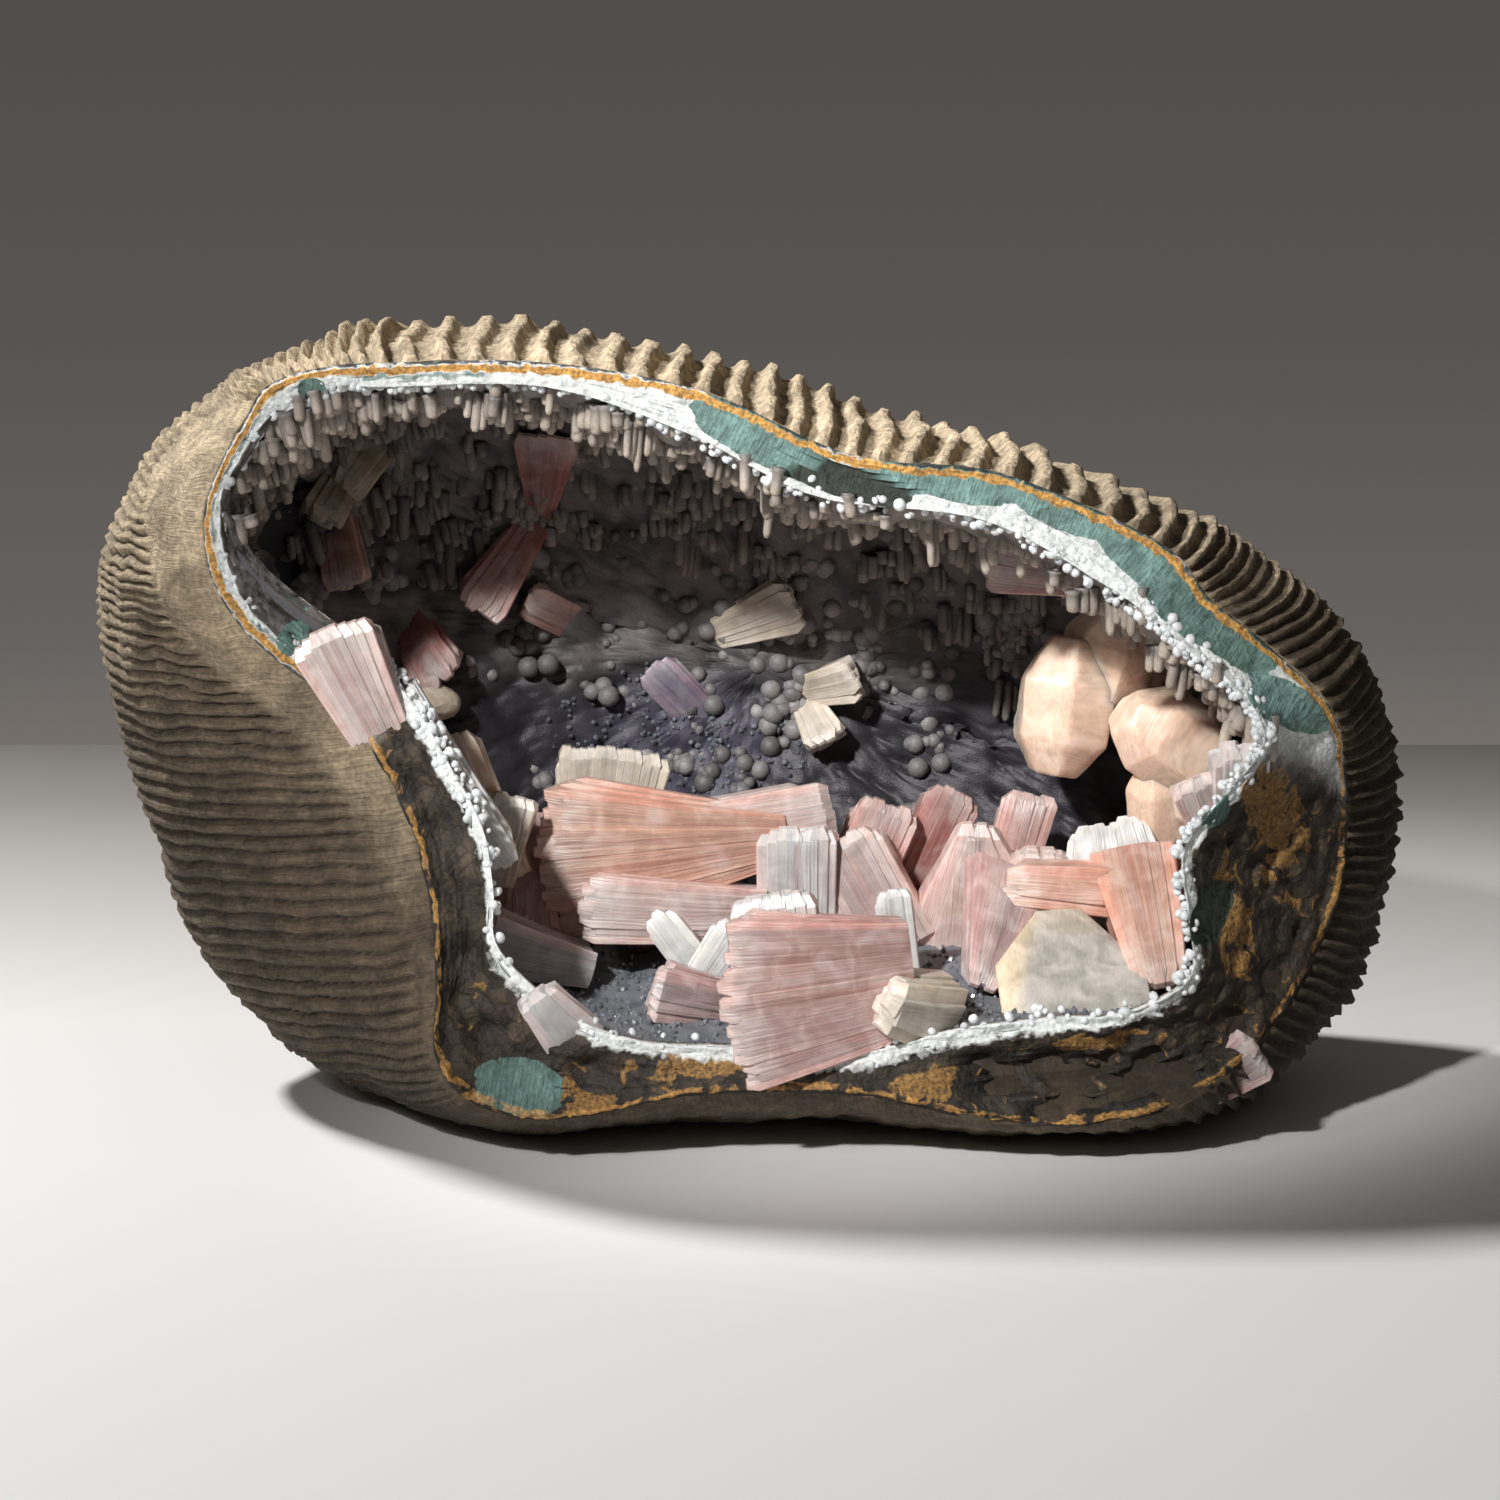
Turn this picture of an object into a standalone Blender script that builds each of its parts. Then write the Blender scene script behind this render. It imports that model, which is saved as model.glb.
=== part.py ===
"""Heulandite specimen: a broken basalt geode, open at the front, with its crystals.

The row frame has +Z up, +X to the viewer's right and +Y away from the viewer. The origin is the
middle of the flat patch that the geode rests on. Lengths below are millimetres, and MM turns them
into Blender's metres.
"""

import functools
import math
import random

import bmesh
import bpy
from mathutils import Matrix, Vector, noise

MM = 0.001

# The geode is about 243 mm wide, 142 mm high and 128 mm from its broken rim to its back.
GIRTH_Y = 12.0
BACK_POLE = Vector((2.0, 68.0, 66.0))
CAVITY_GIRTH_Y = -8.0
CAVITY_POLE = Vector((2.0, 46.0, 74.0))
RIM_PLANE_Y = -58.0
RIM_LEAN = 0.2
BASE_Z = 0.0

RIDGES_PER_STATION = 5
RIDGE_HEIGHT = 1.5
CRUST_LIP = 2.2
LIP_FORWARD = 0.6
CRUST_THICKNESS = 2.6
GAP = 0.4
JOIN_DISTANCE = 0.0002
FLAT_ENOUGH = 9

# One row for each station round the opening, clockwise from the top left corner as the viewer sees
# it. Each row holds the girth, where the rock is widest (x, z), the outer edge of the broken rim
# (x, z, and how far it is set back behind the rim's plane), and the mouth of the cavity (x, z).
STATIONS = [
    ((-93, 134), (-85, 135, 0), (-79, 132)),
    ((-82, 138), (-76, 138, 0), (-73, 135)),
    ((-67, 142), (-64, 139, 0), (-64, 135)),
    ((-37, 142), (-36, 139, 0), (-36, 135)),
    ((-7, 136), (-8, 134, 0), (-11, 127)),
    ((20, 128), (18, 123, 0), (12, 116)),
    ((48, 120), (44, 120, 0), (41, 112)),
    ((78, 109), (72, 108, 0), (62, 101)),
    ((93, 101), (81, 98, 2), (72, 94)),
    ((106, 92), (91, 90, 4), (80, 87)),
    ((114, 81), (103, 78, 8), (88, 80)),
    ((119, 68), (107, 66, 20), (90, 73)),
    ((121, 53), (108, 54, 26), (83, 64)),
    ((120, 39), (107, 43, 28), (76, 55)),
    ((116, 25), (102, 31, 26), (77, 43)),
    ((108, 12), (94, 22, 16), (77, 33)),
    ((94, 1), (83, 14, 5), (66, 27)),
    ((76, -3), (68, 9, 0), (52, 26)),
    ((48, -4), (44, 8, 0), (36, 24)),
    ((19, -4), (18, 13, 0), (18, 20)),
    ((-10, -4), (-9, 13, 0), (-3, 21)),
    ((-36, -4), (-33, 9, 0), (-19, 22)),
    ((-55, -3), (-47, 11, 0), (-32, 27)),
    ((-71, 1), (-55, 19, 0), (-44, 38)),
    ((-87, 8), (-55, 31, 0), (-45, 48)),
    ((-100, 21), (-56, 45, 0), (-47, 59)),
    ((-108, 35), (-59, 57, 0), (-53, 70)),
    ((-113, 51), (-64, 68, 0), (-59, 80)),
    ((-117, 65), (-71, 79, 0), (-67, 89)),
    ((-120, 79), (-81, 86, 0), (-75, 95)),
    ((-121, 91), (-90, 94, 0), (-83, 101)),
    ((-120, 100), (-95, 103, 0), (-89, 108)),
    ((-116, 111), (-96, 113, 0), (-91, 117)),
    ((-109, 121), (-93, 122, 0), (-88, 123)),
    ((-100, 130), (-89, 129, 0), (-84, 129)),
]
STATION_COUNT = len(STATIONS)
FINE_COLUMNS = 2 * RIDGES_PER_STATION
COARSE_COLUMNS = 2
WALL_COLUMNS = 1
CRUST_COLUMNS = 4
FINE_CRUST_ROWS = 4

# How far each profile has gone from the rim (0) through the girth (1) to the back (2).
OUTER_ROWS = (0.0, 0.45, 1.0, 1.34)
BACK_ROWS = (1.6, 1.84)
BROKEN_ROWS = (0.45, 1.0)
CAVITY_ROWS = (0.0, 0.5, 1.05, 1.5, 1.84)
CRUST_ROWS = (0.0, 0.26, 0.56, 0.87, 1.16, 1.42, 1.65, 1.86)

# Pits in the dark rock under the calcite, where gas left bubbles. Each row holds the middle (x, z)
# and the radius. Their middles stand on the broken face.
PITS = [
    ((45, 15), 3.0),
    ((51, 17), 2.4),
    ((57, 14), 3.4),
    ((63, 18), 2.2),
    ((67, 14), 2.8),
    ((75, 15), 3.2),
]
PIT_DEPTH = 9.0

# Each crystal or group of crystals that grew together is one row or more. A row holds the point that
# the sheaf grows from, the middle of its crest, its width at each of them, its thickness and how many
# points its crest has. The roots are inside the crust, which cuts them off.
SHEAVES = {
    "heulandite_bowtie": [
        ((-4, 3, 47), (-36, -4, 45), 12, 28, 10, 6),
        ((-8, 3, 46), (14, 8, 51), 12, 13, 9, 3),
        ((2, -3, 34), (-30, -11, 37), 9, 12, 7, 3),
        ((-16, 12, 26), (-18, 2, 42), 16, 16, 10, 1),
    ],
    "heulandite_left_sheaf": [
        ((-42, 4, 51), (-42, -6, 30), 7, 13, 8, 3),
        ((-30, -12, 26), (-50, -18, 32), 6, 11, 9, 3),
        ((-44, -4, 24), (-44, -13, 33), 9, 9, 8, 1),
    ],
    "heulandite_front_fan": [
        ((28, -49, 33), (0, -57, 30), 20, 31, 6, 7),
        ((7, -42, 23), (4, -49, 47), 13, 14, 9, 2),
    ],
    "heulandite_middle_bed": [
        ((17, 12, 30), (26, 10, 52), 10, 11, 8, 2),
        ((29, 16, 32), (39, 14, 54), 9, 9, 8, 2),
        ((28, 4, 27), (18, 3, 46), 14, 14, 10, 2),
        ((9, 4, 26), (9, 0, 49), 13, 14, 10, 2),
    ],
    "heulandite_right_bed": [
        ((42, 6, 26), (42, 0, 51), 25, 7, 9, 2),
        ((53, 3, 27), (54, -2, 46), 18, 9, 10, 2),
        ((86, -8, 38), (46, -12, 42), 8, 6, 10, 2),
        ((49, -8, 42), (42, -27, 25), 15, 7, 7, 2),
        ((71, -8, 45), (74, -33, 26), 13, 9, 10, 2),
    ],
    "heulandite_back_blade": [((47, 14, 32), (53, 15, 53), 7, 8, 5, 2)],
    "stilbite_cream_fan": [((-29, 22, 34), (-26, 20, 59), 13, 21, 8, 4)],
    "stilbite_white_plate": [((70, -2, 28), (67, 3, 48), 24, 15, 6, 2)],
    "stilbite_cream_prism": [((34, -44, 25), (23, -55, 30), 10, 8, 9, 2)],
    "heulandite_rim_fan": [((-63, -37, 70), (-73, -44, 93), 9, 14, 8, 4)],
    "stilbite_rim_plate": [((-62, -38, 82), (-43, -34, 50), 5, 5, 5, 3)],
    "stilbite_left_fan": [
        ((-45, -6, 42), (-56, -11, 68), 8, 10, 7, 3),
        ((-47, -8, 42), (-44, -13, 58), 6, 9, 6, 2),
    ],
    "heulandite_roof_fan": [((-40, 40, 102), (-38, 21, 121), 3, 11, 5, 3)],
    "heulandite_roof_blade": [((-37, 44, 109), (-52, 24, 87), 4, 9, 5, 2)],
    "heulandite_wall_prism": [((-30, 47, 80), (-43, 30, 89), 5, 6, 4, 1)],
    "heulandite_left_blade": [((-70, 38, 90), (-58, 21, 74), 5, 9, 5, 2)],
    "heulandite_left_point": [((-79, 29, 108), (-75, 12, 93), 5, 7, 6, 2)],
    "stilbite_left_tan": [
        ((-66, 34, 124), (-76, 12, 111), 5, 6, 6, 1),
        ((-75, 26, 116), (-80, 10, 106), 5, 7, 6, 2),
    ],
    "heulandite_wall_blade": [((-5, 48, 58), (-19, 34, 75), 6, 7, 4, 2)],
    "stilbite_wall_sheaf": [((-9, 46, 79), (9, 32, 88), 4, 9, 6, 2)],
    "stilbite_wall_petal_a": [((8, 47, 68), (21, 32, 73), 4, 7, 5, 2)],
    "stilbite_wall_petal_b": [((10, 47, 68), (15, 33, 60), 4, 7, 5, 2)],
    "heulandite_roof_right": [((70, 4, 96), (44, -6, 101), 6, 10, 7, 2)],
    "heulandite_right_rim": [
        ((88, -24, 52), (87, -37, 72), 8, 9, 7, 2),
        ((86, -24, 50), (80, -32, 65), 7, 9, 6, 2),
    ],
    "stilbite_floor_blade_a": [((-6, -16, 22), (-17, -18, 37), 5, 5, 4, 1)],
    "stilbite_floor_blade_b": [((-12, -24, 22), (-2, -24, 36), 5, 7, 4, 2)],
    "stilbite_floor_blade_c": [((28, -17, 24), (26, -20, 42), 5, 5, 4, 1)],
    "heulandite_floor_piece": [((-5, -32, 24), (-17, -39, 28), 6, 8, 6, 2)],
    "heulandite_front_left": [((-31, -49, 21), (-38, -55, 31), 8, 6, 5, 2)],
    "heulandite_bottom_right": [((81, -38, 10), (90, -44, 18), 6, 9, 6, 2)],
}
CREST_RISE = 0.14
TOOTH_DEPTH = 0.07
# A sheaf's levels from its back to its face, as shares of its thickness, and how wide each one is.
SMALL_CREST = 9.5
SMALL_LEVELS = ((-0.5, 1.0), (0.5, 0.88))
LARGE_LEVELS = ((-0.5, 0.85), (0.1, 1.0), (0.5, 0.9))

# Barrels of stilbite. A row holds the middle, the direction of the long axis, half the length and
# the radius.
BARRELS = {
    "stilbite_peach_upper": [((63, 14, 74), (0.15, 0.1, 1), 15.0, 11.5)],
    "stilbite_peach_lower": [
        ((79, 3, 65), (0.7, 0.25, -0.5), 12.5, 10.0),
        ((77, 6, 52), (0.1, 0.3, -1), 11.0, 7.0),
    ],
    "stilbite_pebble": [((-60, 20, 70), (1, 0.6, -0.1), 5.5, 4.0)],
}
# How far along the axis each ring of a barrel's corners is, and how wide.
BARREL_RINGS = ((-1.0, 0.5), (-0.5, 0.96), (0.35, 1.0), (1.0, 0.55))

# The corners of the calcite block, which sits half inside the druse.
CALCITE = [
    (60, -20, 39), (52, -23, 39), (44, -33, 31), (45, -41, 23), (52, -45, 22),
    (72, -43, 24), (71, -33, 31), (48, -14, 20), (70, -14, 20),
]


def smooth_step(low, high, value):
    share = min(1.0, max(0.0, (value - low) / (high - low)))
    return share * share * (3 - 2 * share)


def catmull_rom(before, start, end, after, share):
    """The point at this share of the way from start to end on a smooth curve."""
    return 0.5 * (
        2 * start
        + (end - before) * share
        + (2 * before - 5 * start + 4 * end - after) * share**2
        + (3 * start - before - 3 * end + after) * share**3
    )


def closed_curve(points, per_station):
    """A closed smooth curve through the points, with this many points for each of them."""
    count = len(points)
    return [
        catmull_rom(*(points[(i + k) % count] for k in (-1, 0, 1, 2)), j / per_station)
        for i in range(count)
        for j in range(per_station)
    ]


def rim_plane_y(z):
    """The opening leans back, so its top is further from the viewer than its foot."""
    return RIM_PLANE_Y + RIM_LEAN * z


@functools.lru_cache
def station_curves(per_station):
    """The girth, rim edge and mouth as closed curves of points in space."""
    girth = [Vector((x, GIRTH_Y, z)) for (x, z), _, _ in STATIONS]
    rim = [Vector((x, rim_plane_y(z) + back, z)) for _, (x, z, back), _ in STATIONS]
    mouth = [Vector((x, rim_plane_y(z), z)) for _, _, (x, z) in STATIONS]
    return [closed_curve(points, per_station) for points in (girth, rim, mouth)]


def towards(start, end, length):
    """The point this far from start on the way to end, and no further than half way."""
    way = end - start
    return start + way * min(0.5, length / way.length)


def rock_profile(girth, rim, at):
    """A point on the outside of the rock, from the rim edge (0) by the girth (1) to the back (2)."""
    if at <= 1:
        left = 1 - at
        out = (1 - left**2) ** 0.75
        point = rim.lerp(girth, out)
        point.y = rim.y + (girth.y - rim.y) * at
        return point
    turn = (at - 1) * math.pi / 2
    point = BACK_POLE.lerp(girth, math.cos(turn) ** 0.75)
    point.y = girth.y + (BACK_POLE.y - girth.y) * math.sin(turn) ** 1.1
    return point


def cavity_girth(girth, mouth):
    """The cavity is wider than its mouth on the left and right, and hardly at all above and below."""
    sideways = abs(girth.x - mouth.x)
    share = 0.42 * smooth_step(6, 40, sideways)
    point = mouth.lerp(girth, share)
    point.y = CAVITY_GIRTH_Y
    return point


def cavity_profile(girth, mouth, at):
    """A point on the cavity's wall, from its mouth (0) by its own girth (1) to the back (2)."""
    widest = cavity_girth(girth, mouth)
    if at <= 1:
        point = mouth.lerp(widest, math.sin(at * math.pi / 2))
        point.y = mouth.y + (widest.y - mouth.y) * at
        return point
    turn = (at - 1) * math.pi / 2
    point = CAVITY_POLE.lerp(widest, math.cos(turn) ** 0.85)
    point.y = widest.y + (CAVITY_POLE.y - widest.y) * math.sin(turn)
    return point


def outward(ring, index):
    """The direction away from a ring's inside, square to it, in the XZ plane."""
    count = len(ring)
    along = ring[(index + 1) % count] - ring[(index - 1) % count]
    return Vector((-along.z, 0, along.x)).normalized()


def ridge_strength(station, at):
    """The ridges reach the rim along the top and right, and fade into a smooth bevel on the left."""
    smooth_left = smooth_step(21, 24, station) * (1 - smooth_step(34, 35, station))
    start = 0.1 + 0.42 * smooth_left
    return smooth_step(start - 0.32, start + 0.1, at) * (1 - 0.5 * smooth_step(1.5, 2, at))


def rock_ring(at, per_station, dice):
    """One ring of the rock's outside, with a ridge at every other column."""
    girth, rim, _ = station_curves(per_station)
    ring = [rock_profile(g, r, at) for g, r in zip(girth, rim)]
    out = [outward(girth, i) for i in range(len(ring))]
    for i, point in enumerate(ring):
        station = i / per_station
        lump = noise.noise(point * 0.06) * 1.8 * smooth_step(0, 0.4, at)
        ridge = 0.0
        if per_station == FINE_COLUMNS and i % 2 == 0:
            ridge = RIDGE_HEIGHT * dice.uniform(0.65, 1.2) * ridge_strength(station, at)
        ring[i] = point + out[i] * (lump + ridge)
    return ring


def broken_face_ring(share, per_station, dice):
    """A ring on the broken front, from the rim edge (0) to the edge of the white crust (1)."""
    _, rim, mouth = station_curves(per_station)
    ring = []
    for outer, inner in zip(rim, mouth):
        edge = towards(inner, outer, CRUST_LIP)
        point = outer.lerp(edge, share)
        width = (outer - edge).length
        rough = min(1.0, max(0.0, (width - 8) / 14))
        hollow = math.sin(share * math.pi) * rough
        point.y += hollow * (3.5 + dice.uniform(-3, 3))
        ring.append(point)
    return ring


def cavity_ring(at, per_station, shrink=0.0):
    """One ring of the cavity's wall. It can be drawn in, for the back of what lines the cavity."""
    girth, rim, mouth = station_curves(per_station)
    edge = [towards(m, r, CRUST_LIP) for m, r in zip(mouth, rim)]
    ring = [cavity_profile(g, e, at) for g, e in zip(girth, edge)]
    return [p + inward(p, at) * shrink for p in ring]


def inward(point, at):
    """The direction from the cavity's wall into the cavity: to its long middle line, then forward."""
    reach = 45.0
    x = min(max(point.x, CAVITY_POLE.x - reach), CAVITY_POLE.x + reach)
    middle = Vector((x, point.y, CAVITY_POLE.z - 0.33 * (x - CAVITY_POLE.x)))
    turn = max(0.0, at - 1) * math.pi / 2
    across = (middle - point).normalized()
    return (across * math.cos(turn) + Vector((0, -1, 0)) * math.sin(turn)).normalized()


def add_ring(bm, ring):
    return [bm.verts.new(point * MM) for point in ring]


def join_rings(bm, first, second):
    """Faces between two closed rings. One may have a whole number of times the other's points."""
    if len(first) < len(second):
        return join_rings(bm, second, first)
    count = len(second)
    per = len(first) // count
    for i in range(count):
        a, b = second[i], second[(i + 1) % count]
        run = [first[(i * per + k) % len(first)] for k in range(per + 1)]
        if per == 1:
            bm.faces.new((run[0], run[1], b, a))
            continue
        half = per // 2
        for k in range(half):
            bm.faces.new((run[k], run[k + 1], a))
        bm.faces.new((run[half], b, a))
        for k in range(half, per):
            bm.faces.new((run[k], run[k + 1], b))
    return None


def close_ring(bm, ring, point):
    """A fan of triangles from the last ring to the pole."""
    pole = bm.verts.new(point * MM)
    for i, vertex in enumerate(ring):
        bm.faces.new((vertex, ring[(i + 1) % len(ring)], pole))


def new_object(name, bm, material):
    """An object in the scene from this mesh, with its faces pointing out."""
    bmesh.ops.triangulate(bm, faces=bm.faces)
    bmesh.ops.recalc_face_normals(bm, faces=bm.faces)
    mesh = bpy.data.meshes.new(name)
    bm.to_mesh(mesh)
    bm.free()
    if material is not None:
        mesh.materials.append(material)
    thing = bpy.data.objects.new(name, mesh)
    bpy.context.scene.collection.objects.link(thing)
    return thing


def finish_material(name, colour, roughness):
    """A plain Principled material of this colour."""
    material = bpy.data.materials.new(name)
    material.use_nodes = True
    shader = material.node_tree.nodes["Principled BSDF"]
    shader.inputs["Base Color"].default_value = (*colour, 1)
    shader.inputs["Roughness"].default_value = roughness
    shader.inputs["Metallic"].default_value = 0.0
    return material


def cut_flat_base(bm):
    """Cuts the rock level where it would go below the surface that it rests on."""
    everything = bm.verts[:] + bm.edges[:] + bm.faces[:]
    cut = bmesh.ops.bisect_plane(
        bm,
        geom=everything,
        dist=1e-7,
        plane_co=(0, 0, BASE_Z * MM),
        plane_no=(0, 0, -1),
        clear_outer=True,
    )["geom_cut"]
    edges = [e for e in cut if isinstance(e, bmesh.types.BMEdge)]
    bmesh.ops.holes_fill(bm, edges=edges, sides=0)


def model_basalt(material):
    """The rock: ridged outside, broken rim and the hollow that the crust lines."""
    dice = random.Random(11)
    bm = bmesh.new()
    outer = [add_ring(bm, rock_ring(at, FINE_COLUMNS, dice)) for at in OUTER_ROWS]
    back = [add_ring(bm, rock_ring(at, COARSE_COLUMNS, dice)) for at in BACK_ROWS]
    front = [add_ring(bm, broken_face_ring(s, COARSE_COLUMNS, dice)) for s in BROKEN_ROWS]
    inside = [add_ring(bm, cavity_ring(at, WALL_COLUMNS)) for at in CAVITY_ROWS[1:]]
    rings = [*reversed(inside), *reversed(front), *outer, *back]
    for first, second in zip(rings, rings[1:]):
        join_rings(bm, first, second)
    close_ring(bm, rings[0], CAVITY_POLE)
    close_ring(bm, rings[-1], BACK_POLE)
    cut_flat_base(bm)
    shell = new_object("basalt_shell", bm, material)
    for (x, z), radius in PITS:
        cut_away(shell, pit((x, rim_plane_y(z) + 3, z), radius, dice))
    return shell


def pit(middle, radius, dice):
    """A long ball of 20 faces that reaches from before the broken face into the rock."""
    bm = bmesh.new()
    turn = Matrix.Rotation(dice.uniform(0, math.pi), 4, "Y")
    place = Matrix.Translation(Vector(middle) * MM) @ Matrix.Diagonal((1, PIT_DEPTH / radius, 1, 1))
    bmesh.ops.create_icosphere(bm, subdivisions=1, radius=radius * MM, matrix=place @ turn)
    return new_object("pit", bm, None)


def crust_relief(point, into, at, row, column, dice):
    """How far the crust's face stands in from the wall: fingers hang from the roof, beads sit below."""
    base = CRUST_THICKNESS * (0.45 + 0.55 * smooth_step(0, 0.3, at))
    swell = 1.6 * (1 + noise.noise(point * 0.07))
    hang = Vector((0, 0, -1))
    depth = smooth_step(0.0, 0.35, at)
    roof = smooth_step(62, 84, point.z)
    calm = 1 - 0.8 * smooth_step(1.25, 1.8, at)
    move = into * (base + swell * depth * calm)
    if (row + column) % 2 == 0:
        finger = dice.uniform(1.5, 6.5) * roof * depth * calm
        move += (into * 0.45 + hang * 0.75) * finger
    else:
        move += into * dice.uniform(0.0, 2.8) * (1 - roof) * depth * calm
    return move


def crust_inner_ring(at, row, dice):
    """One ring of the crust's crystal face. The rings near its pole have fewer points."""
    ring = []
    per_station = CRUST_COLUMNS if row < FINE_CRUST_ROWS else COARSE_COLUMNS
    for column, point in enumerate(cavity_ring(at, per_station)):
        into = inward(point, at)
        ring.append(point + crust_relief(point, into, at, row, column, dice))
    return ring


def crust_lip_ring(forward):
    """The white edge of the crust at the mouth."""
    _, _, mouth = station_curves(CRUST_COLUMNS)
    return [point + Vector((0, -forward, 0)) for point in mouth]


def model_crust(material):
    """The chalcedony that lines the hollow, one piece with its fingers and beads."""
    dice = random.Random(23)
    bm = bmesh.new()
    behind = [add_ring(bm, cavity_ring(CAVITY_ROWS[0], COARSE_COLUMNS, GAP))]
    behind += [add_ring(bm, cavity_ring(at, WALL_COLUMNS, GAP)) for at in CAVITY_ROWS[1:]]
    lip = add_ring(bm, crust_lip_ring(LIP_FORWARD))
    face = [
        add_ring(bm, crust_inner_ring(at, row, dice))
        for row, at in enumerate(CRUST_ROWS)
        if row > 0
    ]
    rings = [*reversed(behind), lip, *face]
    for first, second in zip(rings, rings[1:]):
        join_rings(bm, first, second)
    pole_in = CAVITY_POLE + Vector((0, -CRUST_THICKNESS - 2, 0))
    close_ring(bm, rings[0], CAVITY_POLE + Vector((0, -GAP, 0)))
    close_ring(bm, rings[-1], pole_in)
    return new_object("chalcedony_crust", bm, material)


def sheaf_outline(length, root_width, crest_width, points):
    """The outline of a sheaf in its own plane: two curved sides and a crest of points."""
    sides = []
    for share in (0.0, 0.55, 1.0):
        half = (root_width + (crest_width - root_width) * share**1.5) / 2
        sides.append((share * length, half))
    crest = []
    steps = 2 * points
    for i in range(1, steps):
        across = 1 - 2 * i / steps
        rise = CREST_RISE * crest_width * (1 - across**2)
        tooth = TOOTH_DEPTH * crest_width if i % 2 else -0.02 * crest_width
        crest.append((length + rise + tooth, across * crest_width / 2))
    return sides + crest + [(u, -v) for u, v in reversed(sides)]


def model_sheaf(root, crest, root_width, crest_width, thickness, points):
    """A flat sheaf with its broad face to the viewer, thinner at its edge than in its middle."""
    root, crest = Vector(root), Vector(crest)
    along = (crest - root).normalized()
    face = Vector((0, -1, 0)) - along * along.dot(Vector((0, -1, 0)))
    face = (face if face.length > 0.05 else Vector((0, 0, 1))).normalized()
    across = along.cross(face)
    outline = sheaf_outline((crest - root).length, root_width, crest_width, points)
    middle = sum(u for u, _ in outline) / len(outline)
    bm = bmesh.new()
    levels = []
    for height, scale in LARGE_LEVELS if crest_width > SMALL_CREST else SMALL_LEVELS:
        level = []
        for u, v in outline:
            inset_u = middle + (u - middle) * (1 + (scale - 1) * 0.35)
            level.append(root + along * inset_u + across * (v * scale) + face * (thickness * height))
        levels.append(add_ring(bm, level))
    for first, second in zip(levels, levels[1:]):
        join_rings(bm, first, second)
    bm.faces.new(levels[0])
    bm.faces.new(levels[-1])
    return new_object("sheaf", bm, None)


def hull(name, points, material=None):
    """The closed solid whose corners are these points."""
    bm = bmesh.new()
    for point in points:
        bm.verts.new(Vector(point) * MM)
    found = bmesh.ops.convex_hull(bm, input=bm.verts)
    loose = {v for v in found["geom_interior"] + found["geom_unused"] if v.is_valid}
    bmesh.ops.delete(bm, geom=list(loose), context="VERTS")
    return new_object(name, bm, material)


def model_barrel(middle, axis, half_length, radius):
    """A six-sided barrel with a worn, uneven hexagon at each ring."""
    dice = random.Random(round(half_length * 100 + radius))
    turn = Vector(axis).to_track_quat("Z", "Y").to_matrix()
    corners = []
    for along, wide in BARREL_RINGS:
        for i in range(6):
            angle = math.pi / 3 * (i + 0.2)
            reach = radius * wide * dice.uniform(0.92, 1.06)
            local = (reach * math.cos(angle), reach * math.sin(angle), along * half_length)
            corners.append(Vector(middle) + turn @ Vector(local))
    return hull("barrel", corners)


def evaluated_mesh(thing):
    bpy.context.view_layer.update()
    graph = bpy.context.evaluated_depsgraph_get()
    return bpy.data.meshes.new_from_object(thing.evaluated_get(graph))


def boolean(thing, other, operation):
    """Joins or cuts two solids, keeps the result on the first and removes the second."""
    step = thing.modifiers.new(operation, "BOOLEAN")
    step.operation = operation
    step.solver = "MANIFOLD"
    step.object = other
    mesh = evaluated_mesh(thing)
    thing.modifiers.clear()
    thing.data = mesh


def cut_away(thing, cutter):
    boolean(thing, cutter, "DIFFERENCE")
    bpy.data.objects.remove(cutter)


def join(things):
    """One solid from several that overlap."""
    first, *others = things
    for other in others:
        boolean(first, other, "UNION")
        bpy.data.objects.remove(other)
    return first


def swollen(thing):
    """A copy of the solid that is larger by the gap all over. It cuts what grew on the solid."""
    bm = bmesh.new()
    bm.from_mesh(thing.data)
    bmesh.ops.remove_doubles(bm, verts=bm.verts, dist=1e-7)
    loose = [vertex for vertex in bm.verts if not vertex.link_faces]
    bmesh.ops.delete(bm, geom=loose, context="VERTS")
    bm.normal_update()
    for vertex in bm.verts:
        faces = [face.normal for face in vertex.link_faces]
        leaning = max(0.45, min(vertex.normal.dot(normal) for normal in faces))
        vertex.co += vertex.normal * (GAP * MM / leaning)
    copy = new_object("swollen_" + thing.name, bm, None)
    copy.hide_render = True
    copy.display_type = "WIRE"
    return copy


def boxes_meet(first, second):
    """Whether the two objects' boxes overlap."""
    for axis in range(3):
        a = [v.co[axis] for v in first.data.vertices]
        b = [v.co[axis] for v in second.data.vertices]
        if max(a) < min(b) or max(b) < min(a):
            return False
    return True


def bodies_of(bm):
    """The mesh's faces in groups that share edges."""
    left, bodies = set(bm.faces), []
    while left:
        edge = [left.pop()]
        body = set(edge)
        while edge:
            near = {face for e in edge.pop().edges for face in e.link_faces} & left
            left -= near
            body |= near
            edge += near
        bodies.append(body)
    return bodies


def volume(body):
    """Six times the volume inside these triangles."""
    corners = ([v.co for v in face.verts] for face in body)
    return sum(a.dot(b.cross(c)) for a, b, c in corners)


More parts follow.
